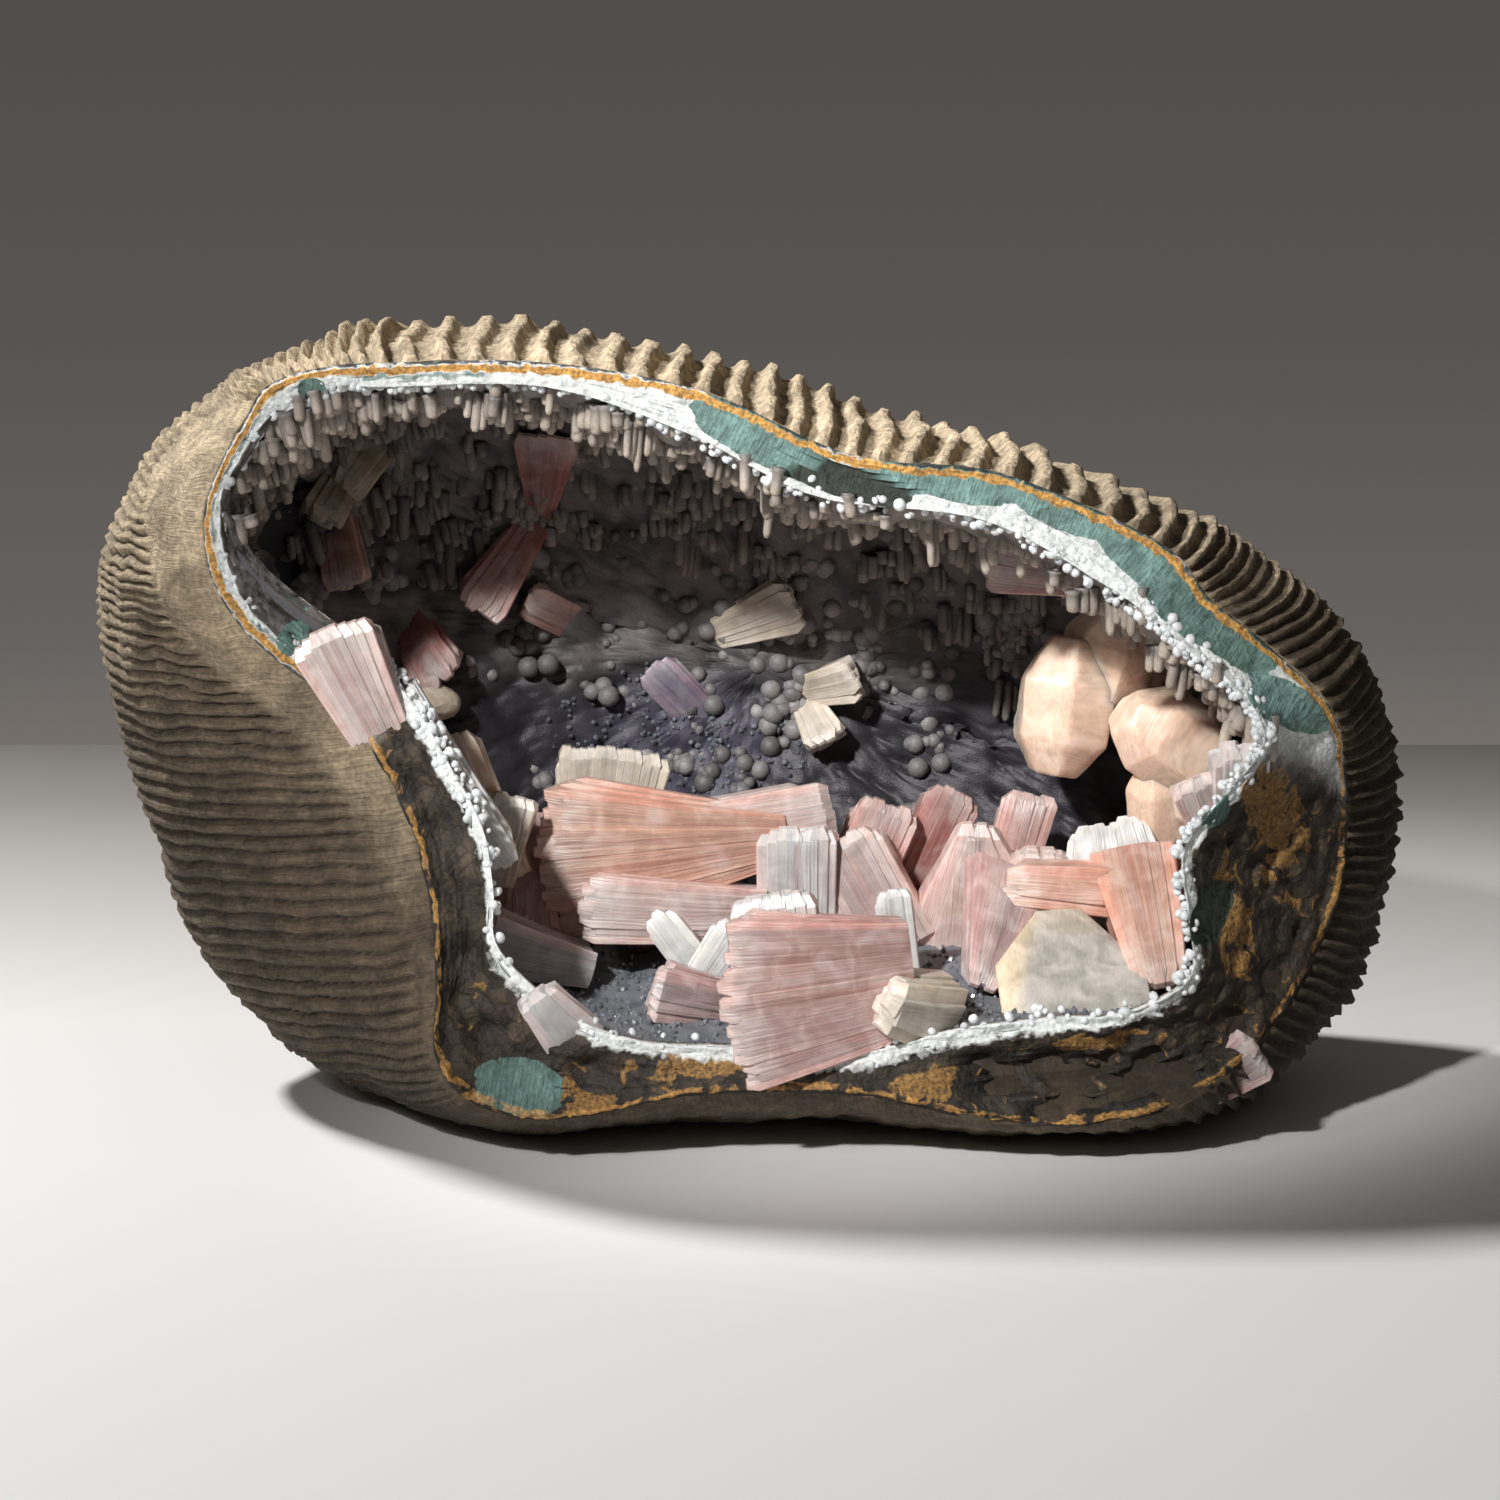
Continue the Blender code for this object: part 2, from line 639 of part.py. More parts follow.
def keep_largest_body(thing):
    """Drops the chips that a cut leaves beside the main body."""
    bm = bmesh.new()
    bm.from_mesh(thing.data)
    bmesh.ops.remove_doubles(bm, verts=bm.verts, dist=JOIN_DISTANCE * MM)
    bmesh.ops.triangulate(bm, faces=bm.faces)
    bodies = sorted(bodies_of(bm), key=volume)
    for body in bodies[:-1]:
        bmesh.ops.delete(bm, geom=list(body), context="FACES")
    bm.to_mesh(thing.data)
    merge_flat_faces(bm)
    if all(len(edge.link_faces) == 2 for edge in bm.edges):
        bm.to_mesh(thing.data)
    bm.free()


def merge_flat_faces(bm):
    """Fewer triangles where a cut has left several on one plane."""
    flat = math.radians(FLAT_ENOUGH)
    bmesh.ops.dissolve_limit(bm, angle_limit=flat, verts=bm.verts, edges=bm.edges)
    bmesh.ops.triangulate(bm, faces=bm.faces)


def place_crystal(name, pieces, material, ground, neighbours):
    """Joins a crystal's pieces, and cuts them back to what they grew on and beside."""
    crystal = join(pieces)
    crystal.name = crystal.data.name = name
    for cutter in [*neighbours, *ground]:
        if boxes_meet(crystal, cutter):
            boolean(crystal, cutter, "DIFFERENCE")
    keep_largest_body(crystal)
    crystal.data.materials.clear()
    crystal.data.materials.append(material)
    neighbours.append(swollen(crystal))


def crystal_colour(name):
    if name.startswith("heulandite"):
        return "pink"
    if name.startswith("stilbite_peach"):
        return "peach"
    return "calcite" if name.startswith("calcite") else "cream"


def model_crystals(ground, materials):
    """All crystals, the calcite first because the others grew over it."""
    neighbours = [swollen(thing) for thing in ground]
    pieces = {"calcite_block": [hull("block", CALCITE)]}
    pieces |= {name: [model_barrel(*row) for row in rows] for name, rows in BARRELS.items()}
    pieces |= {name: [model_sheaf(*row) for row in rows] for name, rows in SHEAVES.items()}
    for name, shapes in pieces.items():
        place_crystal(name, shapes, materials[crystal_colour(name)], ground, neighbours)
    for cutter in neighbours:
        bpy.data.objects.remove(cutter)


def clear_scene():
    for thing in list(bpy.data.objects):
        bpy.data.objects.remove(thing)


def main():
    clear_scene()
    basalt = finish_material("basalt", (0.21, 0.165, 0.11), 0.9)
    chalcedony = finish_material("chalcedony", (0.42, 0.41, 0.40), 0.45)
    ground = [model_basalt(basalt), model_crust(chalcedony)]
    crystals = {
        "pink": finish_material("heulandite", (0.62, 0.33, 0.29), 0.35),
        "peach": finish_material("peach_stilbite", (0.80, 0.52, 0.38), 0.4),
        "cream": finish_material("cream_stilbite", (0.72, 0.62, 0.50), 0.4),
        "calcite": finish_material("calcite", (0.48, 0.45, 0.40), 0.3),
    }
    model_crystals(ground, crystals)


if __name__ == "__main__":
    main()
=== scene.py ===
"""The looks of the heulandite specimen: ridged rind, layered rim, lined hollow and crystals.

Lengths are millimetres, and MM turns them into Blender's metres. +Z is up, +X the viewer's right and
+Y away from the viewer. Stations count round the opening, clockwise from its top left corner.
"""

import math
import random

import bmesh
import bpy
import numpy as np
from mathutils import Matrix, Vector, noise


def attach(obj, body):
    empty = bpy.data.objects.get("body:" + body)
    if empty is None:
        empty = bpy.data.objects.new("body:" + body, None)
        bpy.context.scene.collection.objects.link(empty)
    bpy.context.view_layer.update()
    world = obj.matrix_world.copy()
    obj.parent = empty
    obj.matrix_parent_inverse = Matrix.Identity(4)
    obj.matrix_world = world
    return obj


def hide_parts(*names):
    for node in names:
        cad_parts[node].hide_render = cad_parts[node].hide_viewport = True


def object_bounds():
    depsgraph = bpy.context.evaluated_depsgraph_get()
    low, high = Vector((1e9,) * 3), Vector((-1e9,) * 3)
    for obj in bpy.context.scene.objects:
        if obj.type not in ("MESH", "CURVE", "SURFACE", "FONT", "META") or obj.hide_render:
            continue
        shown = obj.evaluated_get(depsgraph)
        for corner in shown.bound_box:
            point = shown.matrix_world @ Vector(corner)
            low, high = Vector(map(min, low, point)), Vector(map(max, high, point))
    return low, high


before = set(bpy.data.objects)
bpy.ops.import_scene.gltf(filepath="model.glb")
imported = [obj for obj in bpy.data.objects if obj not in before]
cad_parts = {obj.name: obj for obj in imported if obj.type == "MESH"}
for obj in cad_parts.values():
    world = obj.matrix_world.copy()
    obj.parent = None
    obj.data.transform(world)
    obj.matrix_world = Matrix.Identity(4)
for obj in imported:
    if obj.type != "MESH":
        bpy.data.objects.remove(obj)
CAD_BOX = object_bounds()
MM = 0.001

# The girth and back of the rock and of its hollow, the leaning plane of the rim, and the rock's middle.
GIRTH_Y = 12.0
BACK_POLE = np.array((2.0, 68.0, 66.0))
CAVITY_GIRTH_Y = -8.0
CAVITY_POLE = np.array((2.0, 46.0, 74.0))
RIM_PLANE_Y = -58.0
RIM_LEAN = 0.2
ROCK_MIDDLE = np.array((0.0, 5.0, 66.0))
# The white band at the upper left, and the crust at its lip and on its wall.
LEFT_WHITE = 3.6
CRUST_LIP = 2.2
CRUST_THICKNESS = 2.6
# How many random spots each kind of small growth starts from.
FINGER_SPOTS = 1500
BEAD_CLUSTERS = 190
DRUSE_SPOTS = 5200
LIP_KNOBS = 2300

# One row for each station: the girth (x, z), the outer edge of the broken rim (x, z, set-back) and the
# mouth of the hollow (x, z).
STATIONS = [
    ((-93, 134), (-85, 135, 0), (-79, 132)),
    ((-82, 138), (-76, 138, 0), (-73, 135)),
    ((-67, 142), (-64, 139, 0), (-64, 135)),
    ((-37, 142), (-36, 139, 0), (-36, 135)),
    ((-7, 136), (-8, 134, 0), (-11, 127)),
    ((20, 128), (18, 123, 0), (12, 116)),
    ((48, 120), (44, 120, 0), (41, 112)),
    ((78, 109), (72, 108, 0), (62, 101)),
    ((93, 101), (81, 98, 2), (72, 94)),
    ((106, 92), (91, 90, 4), (80, 87)),
    ((114, 81), (103, 78, 8), (88, 80)),
    ((119, 68), (107, 66, 20), (90, 73)),
    ((121, 53), (108, 54, 26), (83, 64)),
    ((120, 39), (107, 43, 28), (76, 55)),
    ((116, 25), (102, 31, 26), (77, 43)),
    ((108, 12), (94, 22, 16), (77, 33)),
    ((94, 1), (83, 14, 5), (66, 27)),
    ((76, -3), (68, 9, 0), (52, 26)),
    ((48, -4), (44, 8, 0), (36, 24)),
    ((19, -4), (18, 13, 0), (18, 20)),
    ((-10, -4), (-9, 13, 0), (-3, 21)),
    ((-36, -4), (-33, 9, 0), (-19, 22)),
    ((-55, -3), (-47, 11, 0), (-32, 27)),
    ((-71, 1), (-55, 19, 0), (-44, 38)),
    ((-87, 8), (-55, 31, 0), (-45, 48)),
    ((-100, 21), (-56, 45, 0), (-47, 59)),
    ((-108, 35), (-59, 57, 0), (-53, 70)),
    ((-113, 51), (-64, 68, 0), (-59, 80)),
    ((-117, 65), (-71, 79, 0), (-67, 89)),
    ((-120, 79), (-81, 86, 0), (-75, 95)),
    ((-121, 91), (-90, 94, 0), (-83, 101)),
    ((-120, 100), (-95, 103, 0), (-89, 108)),
    ((-116, 111), (-96, 113, 0), (-91, 117)),
    ((-109, 121), (-93, 122, 0), (-88, 123)),
    ((-100, 130), (-89, 129, 0), (-84, 129)),
]
STATION_COUNT = len(STATIONS)
# How finely the skins are cut, and how far behind the rim their hidden backs lie.
RIDGES_PER_STATION = 5
RIM_COLUMNS = 32 * STATION_COUNT
RIM_ROWS = 66
LINING_COLUMNS = 16 * STATION_COUNT
BACKING = 4.0

# Blocks of celadonite and patches of ochre in the rim: middle (x, z), half length, half width and
# tilt in degrees. A block also has its colour.
RIM_BLOCKS = [
    ((1.8, 126.3), 13.5, 4.4, -27, "teal"),
    ((17.0, 118.6), 12.0, 2.9, -16, "black_green"),
    ((33.0, 119.6), 14.0, 3.6, -15, "teal"),
    ((54.5, 113.6), 9.5, 3.2, -24, "teal"),
    ((70.0, 104.5), 9.0, 4.0, -40, "teal"),
    ((77.0, 97.0), 8.5, 4.6, -42, "green"),
    ((86.0, 91.0), 8.5, 4.4, -34, "green"),
    ((95.5, 79.0), 9.0, 3.8, -30, "teal"),
    ((81.5, 61.8), 3.2, 3.4, 0, "green"),
    ((81.5, 43.0), 5.6, 3.9, 60, "black_green"),
    ((-77.0, 134.6), 2.6, 1.9, 0, "green"),
    ((-80.5, 91.5), 3.4, 2.2, 55, "green"),
    ((-40.5, 14.2), 8.0, 4.6, -10, "green"),
]
OCHRE_PATCHES = [
    ((-9.5, 18.6), 9.5, 2.4, 6),
    ((93.0, 60.0), 5.0, 13.0, 20),
    ((86.0, 40.0), 3.0, 11.0, 10),
    ((30.0, 14.0), 8.0, 2.6, 8),
    ((-30.0, 12.0), 9.0, 2.2, -14),
    ((62.0, 22.0), 8.0, 1.6, 4),
]
# Number of each block's colour in the rim's finish, and how far it stands forward.
BLOCK_LOOKS = {"teal": (0.0, 0.9), "green": (0.5, 0.6), "black_green": (1.0, 0.1)}
# Pits in the rim: middle (x, z) and radius.
PITS = [
    ((45, 15), 3.0), ((51, 17), 2.4), ((57, 14), 3.4), ((63, 18), 2.2), ((67, 14), 2.8),
    ((75, 15), 3.2), ((40, 18), 1.6), ((54, 11), 1.5), ((71, 19), 1.8),
]

# A sheaf's rows hold the point that it grows from, the middle of its crest, its width at each of them,
# its thickness, how many lobes its crest has, and its tint.
SHEAVES = {
    "heulandite_bowtie": [
        ((6, 3, 48), (-35, -4, 45), 9, 28, 10, 6, "salmon"),
        ((-16, 1, 46.5), (14, 6, 50.5), 12, 13, 9, 3, "blush"),
        ((2, -3, 34), (-30, -11, 37), 9, 12, 7, 3, "blush"),
        ((-16, 12, 26), (-18, 2, 42), 16, 16, 10, 1, "rose"),
    ],
    "heulandite_left_sheaf": [
        ((-42, 4, 51), (-42, -6, 30), 7, 13, 8, 3, "rose"),
        ((-30, -12, 26), (-50, -18, 32), 6, 11, 9, 3, "pale"),
        ((-44, -4, 24), (-44, -13, 33), 9, 9, 8, 1, "blush"),
    ],
    "heulandite_front_fan": [
        ((28, -49, 33), (0, -57, 30), 20, 31, 6, 7, "rose"),
        ((7, -42, 23), (4, -49, 47), 13, 14, 9, 2, "pale"),
    ],
    "heulandite_middle_bed": [
        ((17, 12, 30), (26, 10, 52), 10, 11, 8, 2, "rose"),
        ((29, 16, 32), (39, 14, 54), 9, 9, 8, 2, "wine"),
        ((28, 4, 27), (18, 3, 46), 14, 14, 10, 2, "blush"),
        ((9, 4, 26), (9, 0, 49), 13, 14, 10, 2, "pale"),
    ],
    "heulandite_right_bed": [
        ((42, 6, 26), (42, 0, 51), 25, 7, 9, 2, "blush"),
        ((53, 3, 27), (54, -2, 46), 18, 9, 10, 2, "blush"),
        ((86, -8, 38), (46, -12, 42), 8, 6, 10, 2, "salmon"),
        ((49, -8, 42), (42, -27, 25), 15, 7, 7, 2, "dusty"),
        ((71, -8, 45), (74, -33, 26), 13, 9, 10, 2, "salmon"),
    ],
    "heulandite_back_blade": [((47, 14, 32), (53, 15, 53), 7, 8, 5, 2, "rose")],
    "stilbite_cream_fan": [((-29, 22, 34), (-26, 20, 59), 13, 21, 8, 4, "cream")],
    "stilbite_white_plate": [((70, -2, 28), (67, 3, 48), 24, 15, 6, 2, "frost")],
    "stilbite_cream_prism": [((34, -44, 25), (23, -55, 30), 10, 8, 9, 2, "cream")],
    "heulandite_rim_fan": [((-63, -37, 70), (-73, -44, 93), 9, 14, 8, 4, "blush")],
    "stilbite_rim_plate": [((-62, -38, 82), (-43, -34, 50), 5, 5, 5, 3, "frost")],
    "stilbite_left_fan": [
        ((-45, -6, 42), (-56, -11, 68), 8, 10, 7, 3, "apricot"),
        ((-47, -8, 42), (-44, -13, 58), 6, 9, 6, 2, "cream"),
    ],
    "heulandite_roof_fan": [((-40, 40, 102), (-38, 21, 121), 3, 11, 5, 3, "wine")],
    "heulandite_roof_blade": [((-37, 44, 109), (-52, 24, 87), 4, 9, 5, 2, "wine")],
    "heulandite_wall_prism": [((-30, 47, 80), (-43, 30, 89), 5, 6, 4, 1, "rose")],
    "heulandite_left_blade": [((-70, 38, 90), (-58, 21, 74), 5, 9, 5, 2, "wine")],
    "heulandite_left_point": [((-79, 29, 108), (-75, 12, 93), 5, 7, 6, 2, "rose")],
    "stilbite_left_tan": [
        ((-66, 34, 124), (-76, 12, 111), 5, 6, 6, 1, "tan"),
        ((-75, 26, 116), (-80, 10, 106), 5, 7, 6, 2, "tan"),
    ],
    "heulandite_wall_blade": [((-5, 48, 58), (-19, 34, 75), 6, 7, 4, 2, "lavender")],
    "stilbite_wall_sheaf": [((-9, 46, 79), (9, 32, 88), 4, 9, 6, 2, "cream")],
    "stilbite_wall_petal_a": [((8, 47, 68), (21, 32, 73), 4, 7, 5, 2, "cream")],
    "stilbite_wall_petal_b": [((10, 47, 68), (15, 33, 60), 4, 7, 5, 2, "cream")],
    "heulandite_roof_right": [((70, 4, 96), (44, -6, 101), 6, 10, 7, 2, "dusty")],
    "heulandite_right_rim": [
        ((88, -24, 52), (87, -37, 72), 8, 9, 7, 2, "pale"),
        ((86, -24, 50), (80, -32, 65), 7, 9, 6, 2, "blush"),
    ],
    "stilbite_floor_blade_a": [((-6, -16, 22), (-17, -18, 37), 5, 5, 4, 1, "frost")],
    "stilbite_floor_blade_b": [((-12, -24, 22), (-2, -24, 36), 5, 7, 4, 2, "frost")],
    "stilbite_floor_blade_c": [((28, -17, 24), (26, -20, 42), 5, 5, 4, 1, "frost")],
    "heulandite_floor_piece": [((-5, -32, 24), (-17, -39, 28), 6, 8, 6, 2, "dusty")],
    "heulandite_front_left": [((-31, -49, 21), (-38, -55, 31), 8, 6, 5, 2, "pale")],
    "heulandite_bottom_right": [((81, -38, 10), (90, -44, 18), 6, 9, 6, 2, "dusty")],
}
CREST_RISE = 0.14
LATH_LAYERS = 3

# Barrels: middle, direction of the long axis, half length, radius and how worn their corners are.
BARRELS = {
    "stilbite_peach_upper": [
        ((59, 10, 71), (0.15, 0.1, 1), 13.0, 10.0, 0.35),
        ((67, 14, 79), (0.35, -0.1, 1), 11.0, 9.6, 0.35),
        ((73, 18, 74), (0.4, 0.1, 1), 9.0, 6.5, 0.3),
        ((55, 13, 66), (-0.2, 0.1, 1), 7.0, 6.0, 0.3),
    ],
    "stilbite_peach_lower": [
        ((79, 3, 65), (0.7, 0.25, -0.5), 12.5, 10.0, 0.3),
        ((77, 6, 52), (0.1, 0.3, -1), 11.0, 7.0, 0.3),
        ((82, 2, 56), (0.3, 0.3, -1), 8.0, 5.0, 0.3),
    ],
    "stilbite_pebble": [((-60, 20, 70), (1, 0.6, -0.1), 5.5, 4.0, 0.8)],
}
# A barrel's rings from foot to top: height and width, as shares of its half length and radius.
BARREL_RINGS = [(-1, 0.5), (-0.5, 0.96), (0.35, 1.0), (1, 0.55)]

CALCITE = [
    (60, -20, 39), (52, -23, 39), (44, -33, 31), (45, -41, 23), (52, -45, 22),
    (72, -43, 24), (71, -33, 31), (48, -14, 20), (70, -14, 20),
]

# The floor's far edge, and the camera's distance, the height it looks at and its tilt in degrees. The
# lengths are metres.
FLOOR_END = 0.374
CAMERA_REACH = 0.85
AIM_HEIGHT = 0.0645
CAMERA_TILT = 10


def tone(red, green, blue):
    """A colour as the eye reads it, from 0 to 255, turned into light."""
    return np.array([(c / 255) ** 2.2 for c in (red, green, blue)])


def tones(**colours):
    return {name: tone(*colour) for name, colour in colours.items()}


TINTS = tones(
    tan=(176, 156, 128), salmon=(226, 166, 146), rose=(208, 158, 150), blush=(228, 190, 182),
    pale=(222, 204, 202), dusty=(196, 160, 156), wine=(170, 112, 104), lavender=(170, 148, 170),
    cream=(224, 208, 186), frost=(226, 224, 218), apricot=(232, 196, 166),
)
ROCK = tones(
    tan=(182, 164, 136), brown=(98, 85, 69), dark=(56, 47, 37), black=(34, 30, 27),
    ochre=(190, 142, 76), white=(226, 230, 228), teal=(110, 140, 134), green=(84, 110, 103),
    black_green=(48, 56, 48),
)
# The tip tone, lighter than the roof, is the painted highlight on the fingers' tips.
CRUST = tones(
    roof=(138, 132, 128), back=(48, 46, 52), druse=(78, 76, 90), floor=(108, 112, 118),
    lip=(226, 230, 232), tip=(184, 172, 158), bead=(164, 160, 160),
)


def ease(low, high, value):
    share = np.clip((value - low) / (high - low), 0, 1)
    return share * share * (3 - 2 * share)


def window(value, rise_low, rise_high, fall_low, fall_high):
    """1 between two soft edges, 0 outside them."""
    return ease(rise_low, rise_high, value) * (1 - ease(fall_low, fall_high, value))


def mix(first, second, share):
    """Colours or points between two others, one for each share."""
    share = np.asarray(share)[..., None]
    return first * (1 - share) + second * share


def closed_curve(rows, stations):
    """Points on the closed smooth curve through the rows, at these station numbers."""
    rows = np.asarray(rows, float)
    start = np.floor(stations).astype(int)
    t = (stations - start)[..., None]
    a, b, c, d = (rows[(start + k) % len(rows)] for k in (-1, 0, 1, 2))
    return 0.5 * (
        2 * b + (c - a) * t + (2 * a - 5 * b + 4 * c - d) * t**2 + (3 * b - a - 3 * c + d) * t**3
    )


def rim_plane_y(z):
    return RIM_PLANE_Y + RIM_LEAN * z


def girth_at(u):
    return closed_curve([(x, GIRTH_Y, z) for (x, z), _, _ in STATIONS], u)


def rim_at(u):
    return closed_curve([(x, rim_plane_y(z) + b, z) for _, (x, z, b), _ in STATIONS], u)


def mouth_at(u):
    return closed_curve([(x, rim_plane_y(z), z) for _, _, (x, z) in STATIONS], u)


def unit(ways):
    return ways / np.maximum(1e-9, np.linalg.norm(ways, axis=-1))[..., None]


def outward(u):
    """The direction out of the girth, square to it."""
    along = girth_at(u + 0.1) - girth_at(u - 0.1)
    return unit(np.stack((-along[..., 2], np.zeros_like(u), along[..., 0]), -1))


def rock_normal(u, at):
    """The direction out of the rock, square to its skin."""
    along = rock_point(u + 0.03, at) - rock_point(u - 0.03, at)
    back = rock_point(u, np.minimum(at + 0.01, 2)) - rock_point(u, np.maximum(at - 0.01, 0))
    normal = unit(np.cross(back, along))
    away = rock_point(u, at) - ROCK_MIDDLE
    return normal * np.sign((normal * away).sum(-1))[..., None]


def rise_of(at):
    return (1 - np.clip(1 - at, 0, 1) ** 2) ** 0.75


def rock_point(u, at):
    """Points on the outside of the rock, from the rim (0) by the girth (1) to the back (2)."""
    girth, rim = girth_at(u), rim_at(u)
    front = mix(rim, girth, rise_of(at))
    front[..., 1] = rim[..., 1] + (girth[..., 1] - rim[..., 1]) * at
    turn = np.clip(at - 1, 0, 1) * math.pi / 2
    back = mix(BACK_POLE, girth, np.cos(turn) ** 0.75)
    back[..., 1] = GIRTH_Y + (BACK_POLE[1] - GIRTH_Y) * np.sin(turn) ** 1.1
    return np.where((at <= 1)[..., None], front, back)


def lip_edge(u):
    """Where the rock ends behind the white lip of the crust."""
    mouth, rim = mouth_at(u), rim_at(u)
    way = rim - mouth
    return mouth + way * np.minimum(0.5, CRUST_LIP / np.linalg.norm(way, axis=-1))[..., None]


def cavity_point(u, at):
    """Points on the hollow's wall, from its mouth (0) by its girth (1) to the back (2)."""
    girth, edge = girth_at(u), lip_edge(u)
    widest = mix(edge, girth, 0.42 * ease(6, 40, np.abs(girth[..., 0] - edge[..., 0])))
    widest[..., 1] = CAVITY_GIRTH_Y
    front = mix(edge, widest, np.sin(np.clip(at, 0, 1) * math.pi / 2))
    front[..., 1] = edge[..., 1] + (CAVITY_GIRTH_Y - edge[..., 1]) * at
    turn = np.clip(at - 1, 0, 1) * math.pi / 2
    back = mix(CAVITY_POLE, widest, np.cos(turn) ** 0.85)
    back[..., 1] = CAVITY_GIRTH_Y + (CAVITY_POLE[1] - CAVITY_GIRTH_Y) * np.sin(turn)
    return np.where((at <= 1)[..., None], front, back)


def inward(points, at):
    """The direction from the hollow's wall to its long middle line, then forward."""
    x = np.clip(points[..., 0], CAVITY_POLE[0] - 45, CAVITY_POLE[0] + 45)
    z = CAVITY_POLE[2] - 0.33 * (x - CAVITY_POLE[0])
    turn = (np.clip(at - 1, 0, 1) * math.pi / 2)[..., None]
    across = unit(np.stack((x, points[..., 1], z), -1) - points)
    return unit(across * np.cos(turn) + np.array((0, -1.0, 0)) * np.sin(turn))


def lumps(points, size, seed=0):
    """Noise from -1 to 1 with lumps of this size."""
    flat = points.reshape(-1, 3) / size + seed * 7.31
    return np.array([noise.noise(p) for p in flat.tolist()]).reshape(points.shape[:-1])


def pebbled(points, size, seed=0):
    """Rounded beads of about this size, 0 between them and 1 on top."""
    flat = points.reshape(-1, 3) / size + seed * 3.7
    near = np.array([noise.voronoi(p)[0][0] for p in flat.tolist()])
    return np.sqrt(np.clip(1 - (near / 0.75) ** 2, 0, 1)).reshape(points.shape[:-1])


def deselect():
    for thing in bpy.context.selected_objects:
        thing.select_set(False)


def edit_where(thing, kind, wanted, *steps):
    """Runs edit mode operators, each with its settings, on the edges or faces whose corners pass the
    test."""
    bpy.ops.object.mode_set(mode="EDIT")
    bpy.ops.mesh.select_mode(type=kind)
    bpy.ops.mesh.select_all(action="DESELECT")
    bpy.ops.object.mode_set(mode="OBJECT")
    points = thing.data.vertices
    for item in thing.data.edges if kind == "EDGE" else thing.data.polygons:
        item.select = wanted(*(points[i].co for i in item.vertices))
    bpy.ops.object.mode_set(mode="EDIT")
    for operator, settings in steps:
        operator(**settings)
    bpy.ops.object.mode_set(mode="OBJECT")


def cut_along(thing, cuts):
    """Cuts a tube into rings across its length, which is along z."""
    edit_where(
        thing, "EDGE", lambda a, b: abs(a.z - b.z) > 0.5, (bpy.ops.mesh.subdivide, {"number_cuts": cuts})
    )


def faces_out(thing):
    """Turns every face outwards."""
    bpy.ops.object.mode_set(mode="EDIT")
    bpy.ops.mesh.select_all(action="SELECT")
    bpy.ops.mesh.normals_make_consistent(inside=False)
    bpy.ops.object.mode_set(mode="OBJECT")
    return thing


def new_primitive(name, operator, **settings):
    deselect()
    operator(**settings)
    thing = bpy.context.object
    bpy.ops.object.transform_apply(location=True, rotation=True, scale=True)
    thing.name = thing.data.name = name
    return thing


def paint(thing, name, values):
    """Stores one value for each point of the mesh: a colour under the name tint, else a vector."""
    kind, key = ("FLOAT_COLOR", "color") if name == "tint" else ("FLOAT_VECTOR", "vector")
    if name == "tint":
        values = np.concatenate((values, np.ones((len(values), 1))), 1)
    layer = thing.data.attributes.new(name, kind, "POINT")
    layer.data.foreach_set(key, values.astype(np.float32).ravel())


def coordinates(thing):
    place = np.empty(len(thing.data.vertices) * 3, np.float32)
    thing.data.vertices.foreach_get("co", place)
    return place.reshape(-1, 3).T


def step_round(y, x, steps):
    """Which of so many equal steps round a circle each point is on."""
    return np.round(np.arctan2(y, x) / (2 * math.pi) * steps).astype(int) % steps


def dressed(thing, points, layers, row, column):
    """Moves the mesh's points to their places and gives them their layers."""
    thing.data.vertices.foreach_set("co", (points * MM).astype(np.float32).ravel())
    thing.data.update()
    for layer, values in layers.items():
        paint(thing, layer, values[row, column])
    bpy.ops.object.shade_smooth()
    return faces_out(thing)


def rolled(name, rings, poles, layers):
    """A closed skin from rings of points. It starts as a tube whose ends are fans of triangles."""
    rows, columns = rings.shape[:2]
    thing = tube(name, columns, ends="TRIFAN")
    cut_along(thing, rows - 2)
    x, y, z = coordinates(thing)
    row, column = np.round((z + 1) / 2 * (rows - 1)).astype(int), step_round(x, y, columns)
    points = rings[row, column]
    on_axis = np.hypot(x, y) < 0.5
    points[on_axis & (z < 0)] = poles[0]
    points[on_axis & (z > 0)] = poles[1]
    return dressed(thing, points, layers, row, column)


def finished(thing, material, slot, *nodes):
    """Gives a piece its material, and ties it to the frame."""
    thing.data.materials.clear()
    thing.data.materials.append(material)
    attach(thing, "root")
    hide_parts(*nodes)
    return thing


def left_side(u):
    """1 on the left face of the rock, 0 elsewhere."""
    return window(u, 21, 23, 33.6, 34.8)


def ridge_phase(u, points):
    """Which ridge a point is on. On the left the ridges run level, and elsewhere straight back."""
    side = [(STATIONS[i][0][1], i) for i in range(34, 20, -1)]
    heights, numbers = zip(*sorted(side))
    level = np.interp(points[..., 2], heights, numbers)
    left = left_side(u)
    skin = left * ease(62, 92, points[..., 2])
    wave = 0.32 * lumps(points, 24, 1) + (0.12 + 0.14 * left) * lumps(points, 8, 2)
    wave += 0.5 * skin * lumps(points, 5, 3)
    return RIDGES_PER_STATION * (u + 0.62 * left * (level - u)) + wave


def right_side(u):
    return window(u, 7, 9, 16, 17.5)


def ridge_shape(u, phase):
    """The height of the ridges from 0 to 1: rolls on the left, scallops on top, scales at the right."""
    left, right = left_side(u), right_side(u)
    share = phase - np.floor(phase)
    rolls = np.abs(np.sin(phase * math.pi)) ** 0.65
    scallops = np.minimum(1, 3.0 * (2 * np.abs(share - 0.5)) ** 3.2)
    scales = np.where(share < 0.75, (share / 0.75) ** 1.6, (1 - share) / 0.25)
    return rolls * left + scales * right + scallops * (1 - left) * (1 - right)


